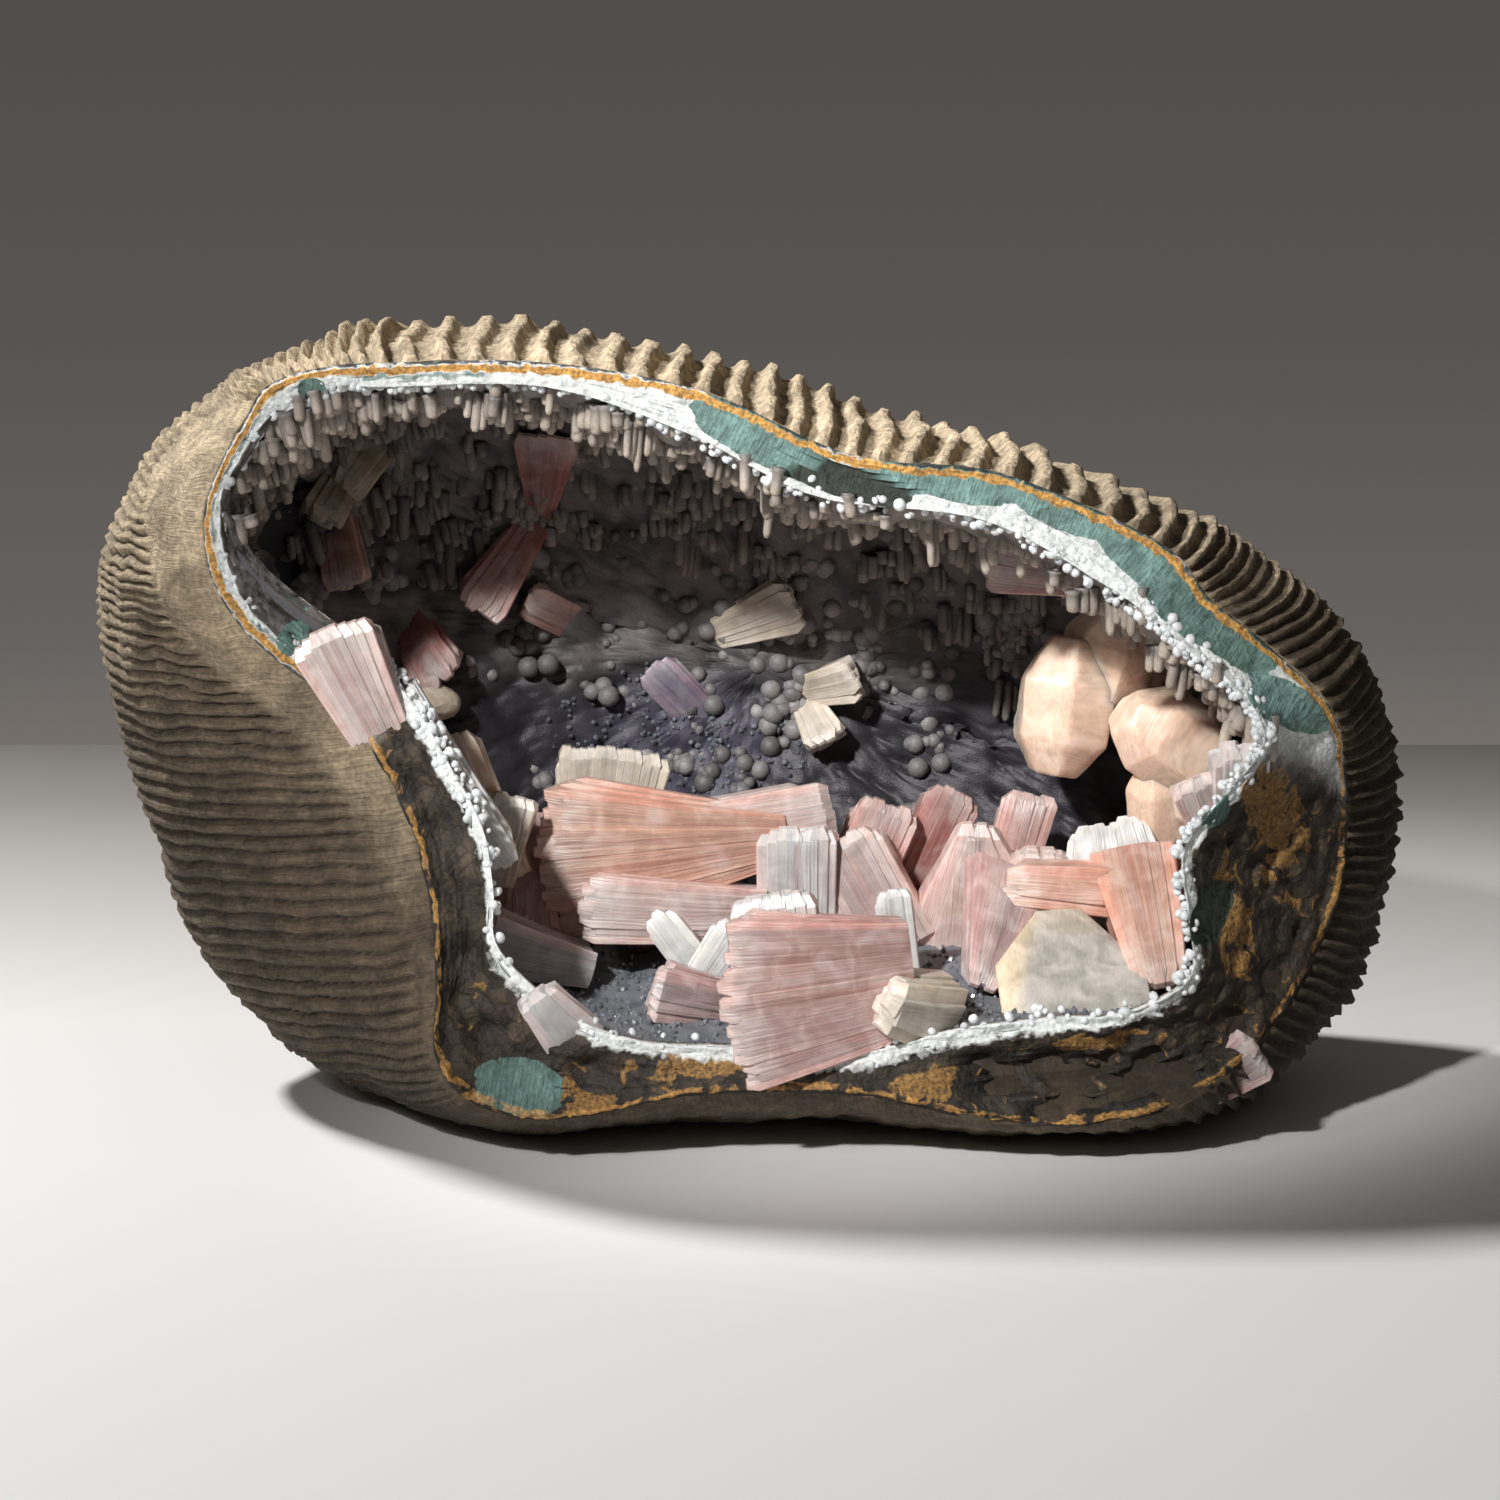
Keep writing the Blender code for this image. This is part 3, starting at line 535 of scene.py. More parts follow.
def ridge_start(u, at, z):
    """How strong the ridges are. They stop where the rim's edge was ground to a bevel, which is
    widest at the upper left, and they fade below, where the specimen stands."""
    left = left_side(u)
    bevel = 0.02 + left * np.interp(z, (30, 60, 76, 92, 108, 118), (0.03, 0.08, 0.16, 0.34, 0.48, 0.72))
    below = window(u, 16.2, 17.5, 21.5, 23.0)
    return ease(bevel, bevel + 0.05 + 0.06 * left, rise_of(at)) * (1 - 0.85 * below)


def rind_columns():
    """Stations of the columns, closer together where the ridges are fine."""
    columns = []
    for number in range(STATION_COUNT):
        start, end = girth_at(np.array((number, number + 1.0)))
        step = 0.52 if number < 16 else 1.3 if number < 22 else 0.38
        count = max(4, round(float(np.linalg.norm(end - start)) / step))
        columns.append(number + np.arange(count) / count)
    return np.concatenate(columns)


def rind_rows():
    front = (np.arange(0, 42) / 41) ** 1.5
    shrink = np.linspace(1, 0.03, 25)[1:]
    back = 1 + np.arccos(shrink ** (1 / 0.75)) / (math.pi / 2)
    return np.concatenate((front, back))


def model_rind():
    """The outside of the rock, with a plain inside wall that the other pieces hide."""
    dice = random.Random(5)
    strength = np.array([dice.uniform(0.65, 1.1) for _ in range(RIDGES_PER_STATION * STATION_COUNT)])
    columns = rind_columns()
    u, at = np.meshgrid(columns, rind_rows())
    points = rock_point(u, at)
    phase = ridge_phase(u, points)
    shape = ridge_shape(u, phase)
    here = ridge_start(u, at, points[..., 2])
    own = strength[np.round(phase).astype(int) % len(strength)]
    left = left_side(u)
    height = (2.4 - 0.8 * left) * shape * own * here * (1 - 0.6 * ease(1.5, 1.95, at))
    rough = lumps(points, 2.0, 4) * (0.1 + 0.25 * left * here) + lumps(points, 9, 5) * 0.5
    swell = lumps(points, 17, 6) * 1.3 * ease(0, 0.4, at)
    bevelled = left * (1 - here) * ease(84, 104, points[..., 2])
    rough += 0.55 * bevelled * lumps(points, 4.5, 7)
    points = points + rock_normal(u, at) * (height + rough + swell - 1.0 * here)[..., None]
    tint = rind_tint(u, points, shape, here)
    inside_at = np.array((1.97, 1.8, 1.5, 1.05, 0.5, 0.05))
    iu, iat = np.meshgrid(columns, inside_at)
    inside = cavity_point(iu, iat)
    behind = mix(rim_at(columns), lip_edge(columns), np.full(len(columns), 0.5))
    behind[..., 1] += BACKING
    low, high = (np.array(list(corner)) / MM for corner in CAD_BOX)
    rings = np.clip(np.concatenate((inside, behind[None], points)), low, high - 0.05)
    hidden = np.tile(ROCK["dark"], (len(inside) + 1, len(columns), 1))
    tints = np.concatenate((hidden, tint))
    grain = np.stack((phase, at * 60, u * 0), -1)
    grains = np.concatenate((np.zeros(hidden.shape), grain))
    return rolled("basalt_rind", rings, (CAVITY_POLE, BACK_POLE), {"tint": tints, "grain": grains})


def rind_tint(u, points, shape, here):
    """Tan above and on the bevel, brown below. The darkening near the floor, low on the left and right
    faces and in the grooves is painted shade.
    """
    z = points[..., 2]
    left, right = left_side(u), right_side(u)
    patches = 0.5 + 0.5 * lumps(points, 22, 8)
    upper = ease(72, 112, z + 14 * lumps(points, 18, 9))
    upper = upper * (1 - 0.55 * ease(30, 80, points[..., 0]))
    upper = np.maximum(upper, 0.5 * (1 - here) * ease(40, 70, z))
    tint = mix(ROCK["brown"], ROCK["tan"], np.clip(upper * 0.85 + 0.3 * patches - 0.1, 0, 1))
    # Painted shade: darker near the floor, under the rock.
    tint = mix(tint, ROCK["dark"], ease(30, 5, z) * 0.35)
    # Painted shade: darker low on the right and left faces.
    tint = mix(tint, ROCK["dark"], (0.55 * right + 0.3 * left) * ease(90, 60, z))
    tint = mix(tint, ROCK["dark"], ease(0.2, 0.6, lumps(points, 12, 10)) * 0.3)
    # Painted shade in the grooves between the ridges.
    painted_groove_shade = (1 - shape) ** 1.2 * here * (0.2 + 0.7 * left + 0.4 * right)
    return mix(tint, ROCK["black"] * 0.5, painted_groove_shade)


def block_shape(points, block):
    """How deep inside a rim block each point is (1 in its middle, 0 at its edge), and the two
    directions along and across its fibres."""
    (x, z), long, wide, tilt = block[:4]
    turn = math.radians(tilt)
    dx, dz = points[..., 0] - x, points[..., 2] - z
    along = dx * math.cos(turn) + dz * math.sin(turn)
    across = -dx * math.sin(turn) + dz * math.cos(turn)
    edge = 0.18 * lumps(points, 3.0, 11) + 0.12 * lumps(points, 1.2, 12)
    inside = 1 - (np.abs(along / long) ** 2.6 + np.abs(across / wide) ** 2.6) + edge
    return inside, along, across


def rough_rock(flat):
    """Broken basalt: how far it stands forward, from coarse, fine and gritty lumps."""
    sharp = 1 - 2 * np.abs(lumps(flat, 7, 23))
    return 1.5 * sharp + 1.0 * lumps(flat, 3.2, 24) + 0.5 * lumps(flat, 1.4, 25)


def model_rim():
    """The broken rim: ochre seam, celadonite blocks in white chalcedony, and dark broken basalt."""
    columns = np.arange(RIM_COLUMNS) / RIM_COLUMNS * STATION_COUNT
    u, share = np.meshgrid(columns, np.linspace(0, 1, RIM_ROWS))
    rim, mouth = rim_at(u), mouth_at(u)
    flat = mix(rim, mouth, share)
    width = np.linalg.norm(rim - mouth, axis=-1)
    wide = np.clip((width - 8) / 14, 0, 1)
    flat[..., 1] += np.sin(share * math.pi) * wide * 3.0
    points = flat.copy()
    x, z = flat[..., 0], flat[..., 2]
    from_edge, from_mouth = share * width, (1 - share) * width
    rock = window(u, 10.6, 11.6, 27.2, 27.9)
    wander = 0.7 * lumps(flat, 6, 21) + 0.4 * lumps(flat, 2.0, 22)
    seam = ease(0.3, 0.6, from_edge + wander * 0.4) * (1 - ease(1.7, 2.2, from_edge + wander))
    seam *= 1 - rock * ease(-0.3, 0.1, lumps(flat, 9, 20))
    beads = pebbled(flat, 2.2, 1)
    white = np.maximum(1 - rock, ease(3.4, 1.6, from_mouth + wander * 1.6))
    white *= (1 - seam) * ease(0.4, 0.9, from_edge)
    sunk = left_lip(u) * ease(LEFT_WHITE - 0.5, LEFT_WHITE + 0.7, from_edge + wander)
    white *= 1 - sunk
    coarse = rough_rock(flat)
    bare = rock * (1 - white)
    forward = coarse * bare * (0.5 + 0.8 * wide)
    forward += white * (beads * 1.2 + 0.5 * lumps(flat, 1.3, 34) - 0.2) * (1 - rock * 0.4)
    forward += seam * (0.5 + 0.5 * lumps(flat, 0.9, 26))
    # Raised rock is painted lighter and sunken rock darker: painted shade in the recesses, mixed with
    # random tone.
    relief_shade_and_tone = np.clip(0.45 + 0.35 * coarse / 2 + 0.5 * lumps(flat, 2.4, 27), 0, 1)
    tint = mix(ROCK["black"], ROCK["dark"] * 1.25, relief_shade_and_tone)
    tint = mix(tint, ROCK["brown"] * 0.8, ease(0.2, 0.6, lumps(flat, 4.0, 28)) * 0.5)
    nearest, kind, stained = np.full(u.shape, -1.0), np.zeros(u.shape), np.full(u.shape, -1.0)
    fibre = np.zeros(points.shape)
    for patch in OCHRE_PATCHES:
        stained = np.maximum(stained, block_shape(flat, patch)[0])
    for block in RIM_BLOCKS:
        inside, along, across = block_shape(flat, block)
        body = ease(0.0, 0.06, inside) * (1 - seam)
        number, level = BLOCK_LOOKS[block[4]]
        forward = forward * (1 - body) + body * (level + 0.35 * lumps(flat, 2.5, 31))
        closer = inside > nearest
        nearest = np.where(closer, inside, nearest)
        kind = np.where(closer, number, kind)
        fibre[closer] = np.stack((along, across, along * 0), -1)[closer]
    forward += sunk * (beads * 2.2 - 0.9 * np.maximum(0, from_edge - LEFT_WHITE))
    cells = pebbled(flat, 3.4, 7) * ease(34, 40, x) * ease(24, 18, z) * rock
    forward -= cells * 1.8
    # The gas cells are painted darker: painted shade inside them.
    tint = mix(tint, ROCK["black"] * 0.4, ease(0.35, 0.8, cells) * 0.9)
    for (px, pz), radius in PITS:
        near = np.hypot(x - px, z - pz) / radius
        dip = np.sqrt(np.clip(1 - near**2, 0, 1))
        forward = forward - dip * radius * 1.5
        # The pits are painted darker: painted shade inside them.
        tint = mix(tint, ROCK["black"] * 0.4, np.clip(dip * 1.2, 0, 1) * 0.9)
    points[..., 1] -= forward + 0.5 * np.sin(np.clip(share * 8, 0, 1) * math.pi / 2)
    points[0] += outward(u)[0] * 0.1
    back = mix(rim, mouth, share)[[63, 32, 2]]
    back[..., 1] += BACKING
    rings = np.concatenate((points, back))
    rings[..., 2] = np.maximum(rings[..., 2], 0.2)
    layers = {
        "tint": tint,
        "grain": fibre,
        "borders": np.stack((from_edge, from_mouth, rock), -1),
        "blocks": np.stack((np.clip(nearest, -1, 1), kind, np.clip(stained, -1, 1)), -1),
        "sunk": np.stack((sunk, beads, wide), -1),
    }
    hidden = np.zeros(back.shape)
    layers = {name: np.concatenate((values, hidden)) for name, values in layers.items()}
    layers["tint"][len(points):] = ROCK["dark"]
    return banded("rim_layers", rings, layers)


def banded(name, rings, layers):
    """A closed band round the opening. It starts as a ring that is cut into rows."""
    rows, columns = rings.shape[:2]
    thing = new_primitive(
        name, bpy.ops.mesh.primitive_torus_add, major_segments=columns, minor_segments=rows,
        major_radius=2, minor_radius=1,
    )
    x, y, z = coordinates(thing)
    row, column = step_round(z, np.hypot(x, y) - 2, rows), step_round(y, x, columns)
    return dressed(thing, rings[row, column], layers, row, column)


def lining_tint(points, from_lip, beads):
    """White at the lip, warm grey under the roof, near black behind and blue grey on the floor. The roof is
    painted darker towards the back, and the crust darker between its beads and lighter on their tops:
    painted shade and painted highlight.
    """
    x, y, z = points[..., 0], points[..., 1], points[..., 2]
    roof = ease(66, 90, z + 10 * lumps(points, 14, 41))
    floor = ease(42, 32, z)
    tint = mix(CRUST["back"], CRUST["roof"], roof)
    tint = mix(tint, CRUST["back"], ease(0.1, 0.4, lumps(points, 9, 43)) * 0.6)
    # Painted shade: the roof darker towards the back of the hollow.
    tint = mix(tint, CRUST["back"], ease(-20, 35, y) * roof * 0.5)
    patch = ease(1.2, 0.6, np.hypot((x + 15) / 24, (z - 58) / 14))
    tint = mix(tint, CRUST["druse"], patch * (1 - floor) * 0.8)
    tint = mix(tint, CRUST["floor"], floor)
    # Painted shade between the beads and painted highlight on their tops.
    tint = tint * (0.6 + 0.7 * beads)[..., None]
    edge = ease(3.2, 0.8, from_lip + 1.2 * lumps(points, 4, 44))
    return mix(tint, CRUST["lip"], edge)


def left_lip(u):
    """1 where the white band is narrow, at the upper left."""
    return window(u, 27.4, 28.6, 34.0, 34.9)


def lip_recess(u):
    """How far the wall inside the narrow white band has already sunk where the hollow's mouth is."""
    width = np.linalg.norm(rim_at(u) - mouth_at(u), axis=-1)
    return left_lip(u) * np.maximum(0, width - LEFT_WHITE) * 0.8


def crust_face(u, at):
    """The crust's crystal face without its fingers, and how far up its beads each point is."""
    wall = cavity_point(u, at)
    wall[..., 1] += lip_recess(u) * (1 - ease(0, 0.25, at))
    into = inward(wall, at)
    depth = ease(0, 0.3, at)
    beads = pebbled(wall, 6.5, 5)
    small = pebbled(wall, 2.6, 6)
    swell = CRUST_THICKNESS * (0.5 + 0.5 * depth) + 1.3 * (1 + lumps(wall, 14, 42)) * depth
    relief = (2.0 * beads + 0.8 * small) * depth
    bed = ease(34, 28, wall[..., 2]) * ease(0, -25, wall[..., 1])
    swell, relief = swell * (1 - 0.5 * bed), relief * (1 - 0.8 * bed)
    return wall + into * (swell + relief)[..., None], np.clip(0.6 * beads + 0.4 * small, 0, 1)


def model_lining():
    columns = np.arange(LINING_COLUMNS) / LINING_COLUMNS * STATION_COUNT
    front = (np.arange(0, 40) / 40) ** 1.15
    shrink = np.linspace(1, 0.05, 56)
    back = 1 + np.arccos(shrink ** (1 / 0.85)) / (math.pi / 2)
    u, at = np.meshgrid(columns, np.concatenate((front, back)))
    face, beads = crust_face(u, at)
    from_lip = np.linalg.norm(face - mouth_at(u), axis=-1)
    tint = lining_tint(face, from_lip + 9 * left_lip(u), beads)
    bu, bat = np.meshgrid(columns, np.array((1.97, 1.8, 1.5, 1.05, 0.5, 0.0)))
    behind = cavity_point(bu, bat) + inward(cavity_point(bu, bat), bat) * 0.4
    rings = np.concatenate((behind, face))
    tints = np.concatenate((np.tile(CRUST["back"], (len(behind), len(columns), 1)), tint))
    poles = (CAVITY_POLE - (0, 0.4, 0), face[-1].mean(0))
    return rolled("crust_lining", rings, poles, {"tint": tints})


def template(thing):
    """The points and faces of a small shape that is copied many times. The shape itself goes."""
    points = np.array([v.co for v in thing.data.vertices])
    faces = [tuple(p.vertices) for p in thing.data.polygons]
    bpy.data.objects.remove(thing)
    return points, faces


def tube(name, sides, depth=2, middle=0, ends="NGON"):
    """An upright tube of radius 1."""
    return new_primitive(
        name, bpy.ops.mesh.primitive_cylinder_add, vertices=sides, radius=1, depth=depth,
        location=(0, 0, middle), end_fill_type=ends,
    )


def finger_shape():
    """A hanging finger with a round tip, 1 long and 1 in radius, that hangs from its origin."""
    thing = tube("finger", 7, 1, -0.5)
    cut_along(thing, 4)
    widths = (1.3, 0.98, 0.92, 0.95, 0.88, 0.45)
    for vertex in thing.data.vertices:
        step = round(-vertex.co.z * 5)
        vertex.co.xy *= widths[step]
        if step == 4:
            vertex.co.z = -0.9
    return template(thing)


def bead_shape():
    return template(new_primitive("bead", bpy.ops.mesh.primitive_ico_sphere_add, subdivisions=2, radius=1))


def point_shape():
    """A small quartz point: a six-sided prism with a pyramid on top."""
    thing = tube("point", 6, 1, 0.5)
    edit_where(
        thing, "FACE", lambda *corners: min(c.z for c in corners) > 0.9,
        (bpy.ops.mesh.extrude_region_move, {"TRANSFORM_OT_translate": {"value": (0, 0, 1.0)}}),
        (bpy.ops.mesh.merge, {"type": "CENTER"}),
    )
    return template(thing)


def joined(name, parts):
    """One mesh from parts. A part is its points and faces, and its colours and grain at the points."""
    faces, base = [], 0
    for points, own, *_ in parts:
        faces += [tuple(base + i for i in face) for face in own]
        base += len(points)
    points, _, *layers = zip(*parts)
    mesh = bpy.data.meshes.new(name)
    mesh.from_pydata((np.concatenate(points) * MM).tolist(), [], faces)
    thing = bpy.data.objects.new(name, mesh)
    bpy.context.scene.collection.objects.link(thing)
    deselect()
    thing.select_set(True)
    bpy.context.view_layer.objects.active = thing
    for layer, values in zip(("tint", "grain"), layers):
        paint(thing, layer, np.concatenate(values))
    return faces_out(thing)


def sown(name, model, places, smooth=True):
    """One mesh from many copies of a small model. A place is where, which way up, how wide, how long,
    and the colours at its foot and tip."""
    points, faces = model
    height = np.abs(points[:, 2])
    parts = []
    for where, way, wide, long, foot, tip in places:
        turn = np.array(Vector(way).to_track_quat("Z", "Y").to_matrix())
        here = (points * np.array((wide, wide, long))) @ turn.T + where
        parts.append((here, faces, mix(foot, tip, height / height.max())))
    thing = joined(name, parts)
    if smooth:
        bpy.ops.object.shade_smooth()
    return thing


def wall_spots(count, seed, u_range, at_range, keep):
    """Random spots on the crust's face that pass the test, with the way into the hollow."""
    dice = random.Random(seed)
    u = np.array([dice.uniform(*u_range) % STATION_COUNT for _ in range(count)])
    at = np.array([dice.uniform(*at_range) for _ in range(count)])
    face, _ = crust_face(u, at)
    for point, into in zip(face, inward(face, at)):
        if keep(point, dice):
            yield point, into, dice


def jitter(dice, amount):
    return np.array([dice.uniform(-amount, amount) for _ in range(3)])


def model_fingers():
    """Chalcedony fingers that hang from the roof and the upper walls, alone and in curtains."""
    def keep(point, dice):
        clump = noise.noise(Vector(point) / 8)
        return point[2] > 72 + 12 * noise.noise(Vector(point) / 20) and clump > dice.uniform(-0.4, 0.25)

    places = []
    for point, into, dice in wall_spots(FINGER_SPOTS, 71, (-4, 11.5), (0.03, 1.75), keep):
        way = unit(np.array((0, 0, 1.0)) - into * 0.25 + jitter(dice, 0.16))
        side = unit(np.cross(way, jitter(dice, 1)))
        long = dice.uniform(2.4, 4.6) + 6.0 * dice.random() ** 4
        wide = dice.uniform(0.85, 1.35)
        # Painted shade and painted highlight: each finger is darker at its foot and lighter at its tip, and
        # darker the further back it hangs.
        deep = ease(-35, 25, point[1])
        shade = dice.uniform(0.75, 1.1)
        foot = mix(CRUST["roof"], CRUST["back"], 0.3 + 0.4 * deep) * shade
        tip = mix(CRUST["tip"], CRUST["roof"], deep * 0.8) * shade
        count = dice.choice((1, 1, 2, 3, 4, 5))
        for i in range(count):
            where = point - into * 1.2 + side * (i - count / 2) * wide * 1.6 + jitter(dice, 0.3)
            own = long * dice.uniform(0.65, 1.1)
            places.append((where, way + jitter(dice, 0.06), wide * dice.uniform(0.8, 1.15), own, foot, tip))
    return sown("chalcedony_fingers", finger_shape(), places)


def model_beads():
    """Round grey beads on the back wall, in clusters."""
    def keep(point, dice):
        return 38 < point[2] < 96 and noise.noise(Vector(point) / 13) > dice.uniform(-0.6, 0.1)

    places = []
    for point, into, dice in wall_spots(BEAD_CLUSTERS, 72, (0, STATION_COUNT), (0.7, 1.96), keep):
        middle = point - into * 0.4
        shade = dice.uniform(0.3, 0.75)
        for _ in range(dice.randint(3, 9)):
            radius = dice.uniform(0.8, 2.3)
            spread = jitter(dice, 4.5)
            where = middle + spread - into * spread.dot(into)
            foot = CRUST["bead"] * shade * dice.uniform(0.85, 1.15)
            places.append((where, into + jitter(dice, 0.2), radius, radius, foot, foot * 1.1))
    return sown("chalcedony_beads", bead_shape(), places)


def model_druse():
    """Tiny quartz points that sparkle on the floor and in the dark patch behind."""
    def keep(point, dice):
        floor = point[2] < 40
        patch = math.hypot((point[0] + 15) / 26, (point[2] - 58) / 17) < 1 and point[1] > 10
        return floor or (patch and dice.random() < 0.8)

    places = []
    for point, into, dice in wall_spots(DRUSE_SPOTS, 73, (14, 28), (0.02, 1.9), keep):
        size = dice.uniform(0.28, 0.62)
        shade = dice.uniform(0.7, 1.25)
        tint = CRUST["floor"] * shade
        places.append((point - into * 0.2, into + jitter(dice, 0.55), size, size * 1.1, tint, tint))
    return sown("quartz_druse", point_shape(), places, smooth=False)


def model_lip():
    """The white knobbly edge of the crust."""
    dice = random.Random(74)
    places = []
    for _ in range(LIP_KNOBS):
        u = np.array(dice.uniform(0, STATION_COUNT))
        rock = float(window(u, 11, 13, 24, 27))
        if dice.random() < rock * (0.45 + 0.35 * float(ease(15, 16, u))):
            continue
        mouth, rim = mouth_at(u), rim_at(u)
        width = float(np.linalg.norm(rim - mouth))
        if left_lip(u) > 0.4:
            mouth = mix(rim, mouth, min(1, LEFT_WHITE / width))
            width = LEFT_WHITE
        back = dice.uniform(-0.22, 0.30) * min(width, 9)
        out = unit(rim - mouth)
        radius = dice.uniform(0.35, 0.7) + 0.5 * dice.random() ** 3
        where = mouth + out * back + np.array((0, dice.uniform(-0.6, 1.6) + max(0, -back) * 0.6, 0))
        white = CRUST["lip"] * dice.uniform(0.8, 1.05)
        places.append((where, jitter(dice, 1), radius, radius * dice.uniform(0.9, 1.4), white, white))
    return sown("white_lip", bead_shape(), places)


def lath_shape():
    """One lath of a sheaf: x across it and z through it from -1 to 1, y along it from 0 to 1, with
    bevelled edges and a chisel tip."""
    thing = new_primitive("lath", bpy.ops.mesh.primitive_cube_add, size=2)
    edit_where(thing, "EDGE", lambda a, b: abs(a.y - b.y) > 1, (bpy.ops.mesh.subdivide, {"number_cuts": 4}))
    edit_where(
        thing, "FACE", lambda *corners: min(c.y for c in corners) > 0.9,
        (bpy.ops.mesh.extrude_region_move, {"TRANSFORM_OT_translate": {"value": (0, 0.14, 0)}}),
        (bpy.ops.transform.resize, {"value": (0.5, 1, 0.3)}),
    )
    edit_where(
        thing, "EDGE",
        lambda a, b: min(abs(a.x), abs(b.x), abs(a.z), abs(b.z)) > 0.9 and abs(a.y - b.y) > 0.1,
        (bpy.ops.mesh.bevel, {"offset": 0.12, "segments": 1, "affect": "EDGES"}),
    )
    points, faces = template(thing)
    points[:, 1] = (points[:, 1] + 1) / 2
    return points, faces


def turned(way, axis, angle):
    return np.array(Matrix.Rotation(angle, 3, Vector(axis)) @ Vector(way))


def model_lath(shape, root, crest, side, face, root_width, crest_width, thickness, tint, dice):
    """One lath between two points, a little wider at its crest and bowed to the viewer."""
    points, faces = shape
    a, b, c = points.T
    length = np.linalg.norm(crest - root)
    half = (root_width + (crest_width - root_width) * np.clip(b, 0, 1) ** 1.4) / 2
    deep = thickness / 2 * (0.7 + 0.3 * np.clip(b, 0, 1))
    bow = 0.03 * length * np.sin(np.clip(b, 0, 1) * math.pi)
    where = root + np.outer(b, crest - root) + np.outer(a * half, side) + np.outer(c * deep + bow, face)
    glow = ease(0.75, 1.1, b) * 0.3
    colours = mix(np.tile(tint, (len(a), 1)), TINTS["frost"], glow)
    grain = np.stack((a * half, b * length, np.full(len(a), dice.uniform(0, 50))), -1)
    return where, faces, colours, grain


def sheaf_laths(shape, row, dice):
    """A sheaf is a few layers of laths that spread from its root to a toothed crest."""
    root, crest, root_width, crest_width, thickness, lobes, tint = row
    root, crest = np.array(root, float), np.array(crest, float)
    along = unit(crest - root)
    front = np.array((0, -1.0, 0))
    face = front - along * along.dot(front)
    face = unit(face if np.linalg.norm(face) > 0.05 else np.array((0, 0, 1.0)))
    side = np.cross(along, face)
    length = np.linalg.norm(crest - root)
    across = max(3, round(crest_width / (1.7 if crest_width > 11 else 1.9)))
    for layer in range(LATH_LAYERS):
        depth = (0.5 - (layer + 0.5) / LATH_LAYERS) * thickness
        short = 1 - 0.07 * layer
        shift = dice.uniform(-0.4, 0.4) / across
        for i in range(across):
            a = ((i + 0.5) / across * 2 - 1) * 0.93 + shift
            lobe = abs(math.sin((a + 1) / 2 * math.pi * lobes))
            tooth = 0.08 * crest_width * lobe**0.6 + dice.uniform(-0.7, 0.7)
            reach = length * short + CREST_RISE * crest_width * (1 - a * a) + tooth
            depth_here = depth * (1 - 0.3 * a * a) + dice.uniform(-0.1, 0.1)
            start = root + side * a * root_width / 2 + face * depth_here
            end = root + along * reach + side * a * crest_width / 2 + face * depth_here
            end = end - along * 0.1 * reach / 1.14
            tilt = dice.gauss(0, 0.05 if crest_width > 11 else 0.09)
            yield model_lath(
                shape, start, end, turned(side, along, tilt), turned(face, along, tilt),
                root_width / across * 2.2, crest_width / across * dice.uniform(1.7, 2.2),
                thickness / LATH_LAYERS * 1.5, TINTS[tint] * dice.uniform(0.9, 1.08), dice,
            )


def crystal(name, parts):
    """One mesh from parts with crisp edges."""
    thing = joined(name, parts)
    bpy.ops.object.shade_smooth_by_angle(angle=math.radians(32))
    return thing


def faceted(thing, offset, segments, cuts):
    """The points and faces of a block with bevelled edges, whose faces are cut up finely."""
    bpy.ops.object.mode_set(mode="EDIT")
    bpy.ops.mesh.select_all(action="SELECT")
    bpy.ops.mesh.bevel(offset=offset, segments=segments, affect="EDGES")
    bpy.ops.mesh.select_all(action="SELECT")
    bpy.ops.mesh.quads_convert_to_tris()
    bpy.ops.mesh.subdivide(number_cuts=cuts)
    bpy.ops.object.mode_set(mode="OBJECT")
    return template(thing)


def model_barrel(row, tint, dice):
    """A six-sided barrel with bevelled, slightly uneven faces."""
    middle, axis, half_length, radius, worn = row
    thing = tube("barrel", 6)
    cut_along(thing, 2)
    for vertex in thing.data.vertices:
        height, width = BARREL_RINGS[round((vertex.co.z + 1) * 1.5)]
        vertex.co.z = height * half_length
        vertex.co.xy *= radius * width * dice.uniform(0.9, 1.07)
    edit_where(thing, "FACE", lambda *corners: True, (bpy.ops.mesh.convex_hull, {}))
    points, faces = faceted(thing, worn * 2, 2, 3)
    turn = np.array(Vector(axis).to_track_quat("Z", "Y").to_matrix())
    where = points @ turn.T + np.array(middle)
    way = unit(where - np.array(middle))
    where = where + way * (0.22 * lumps(where, 3.0, 51) + 0.12 * lumps(where, 1.1, 52))[:, None]
    pale = ease(-0.2, 0.6, lumps(where, 7, 53))
    colours = mix(np.broadcast_to(tint, where.shape), TINTS["cream"], pale * 0.45)
    return where, faces, colours, points


def model_calcite():
    """The calcite block: cream at the left, frosted grey in front."""
    thing = new_primitive("block", bpy.ops.mesh.primitive_cube_add, size=2)
    bm = bmesh.new()
    for point in CALCITE:
        bm.verts.new(point)
    bmesh.ops.convex_hull(bm, input=bm.verts)
    bm.to_mesh(thing.data)
    bm.free()
    points, faces = faceted(thing, 0.2, 1, 4)
    points = points + unit(points - points.mean(0)) * (0.06 * lumps(points, 2.0, 61))[:, None]
    left = ease(51, 47, points[:, 0] - 0.25 * (points[:, 2] - 30))
    high = ease(34, 39, points[:, 2])
    grey = tone(168, 164, 156) * (1 + 0.2 * lumps(points, 5, 62))[:, None]
    colours = mix(grey, tone(222, 204, 172), np.clip(left + 0.4 * high, 0, 1))
    return crystal("calcite_rhomb", [(points, faces, colours, points)])


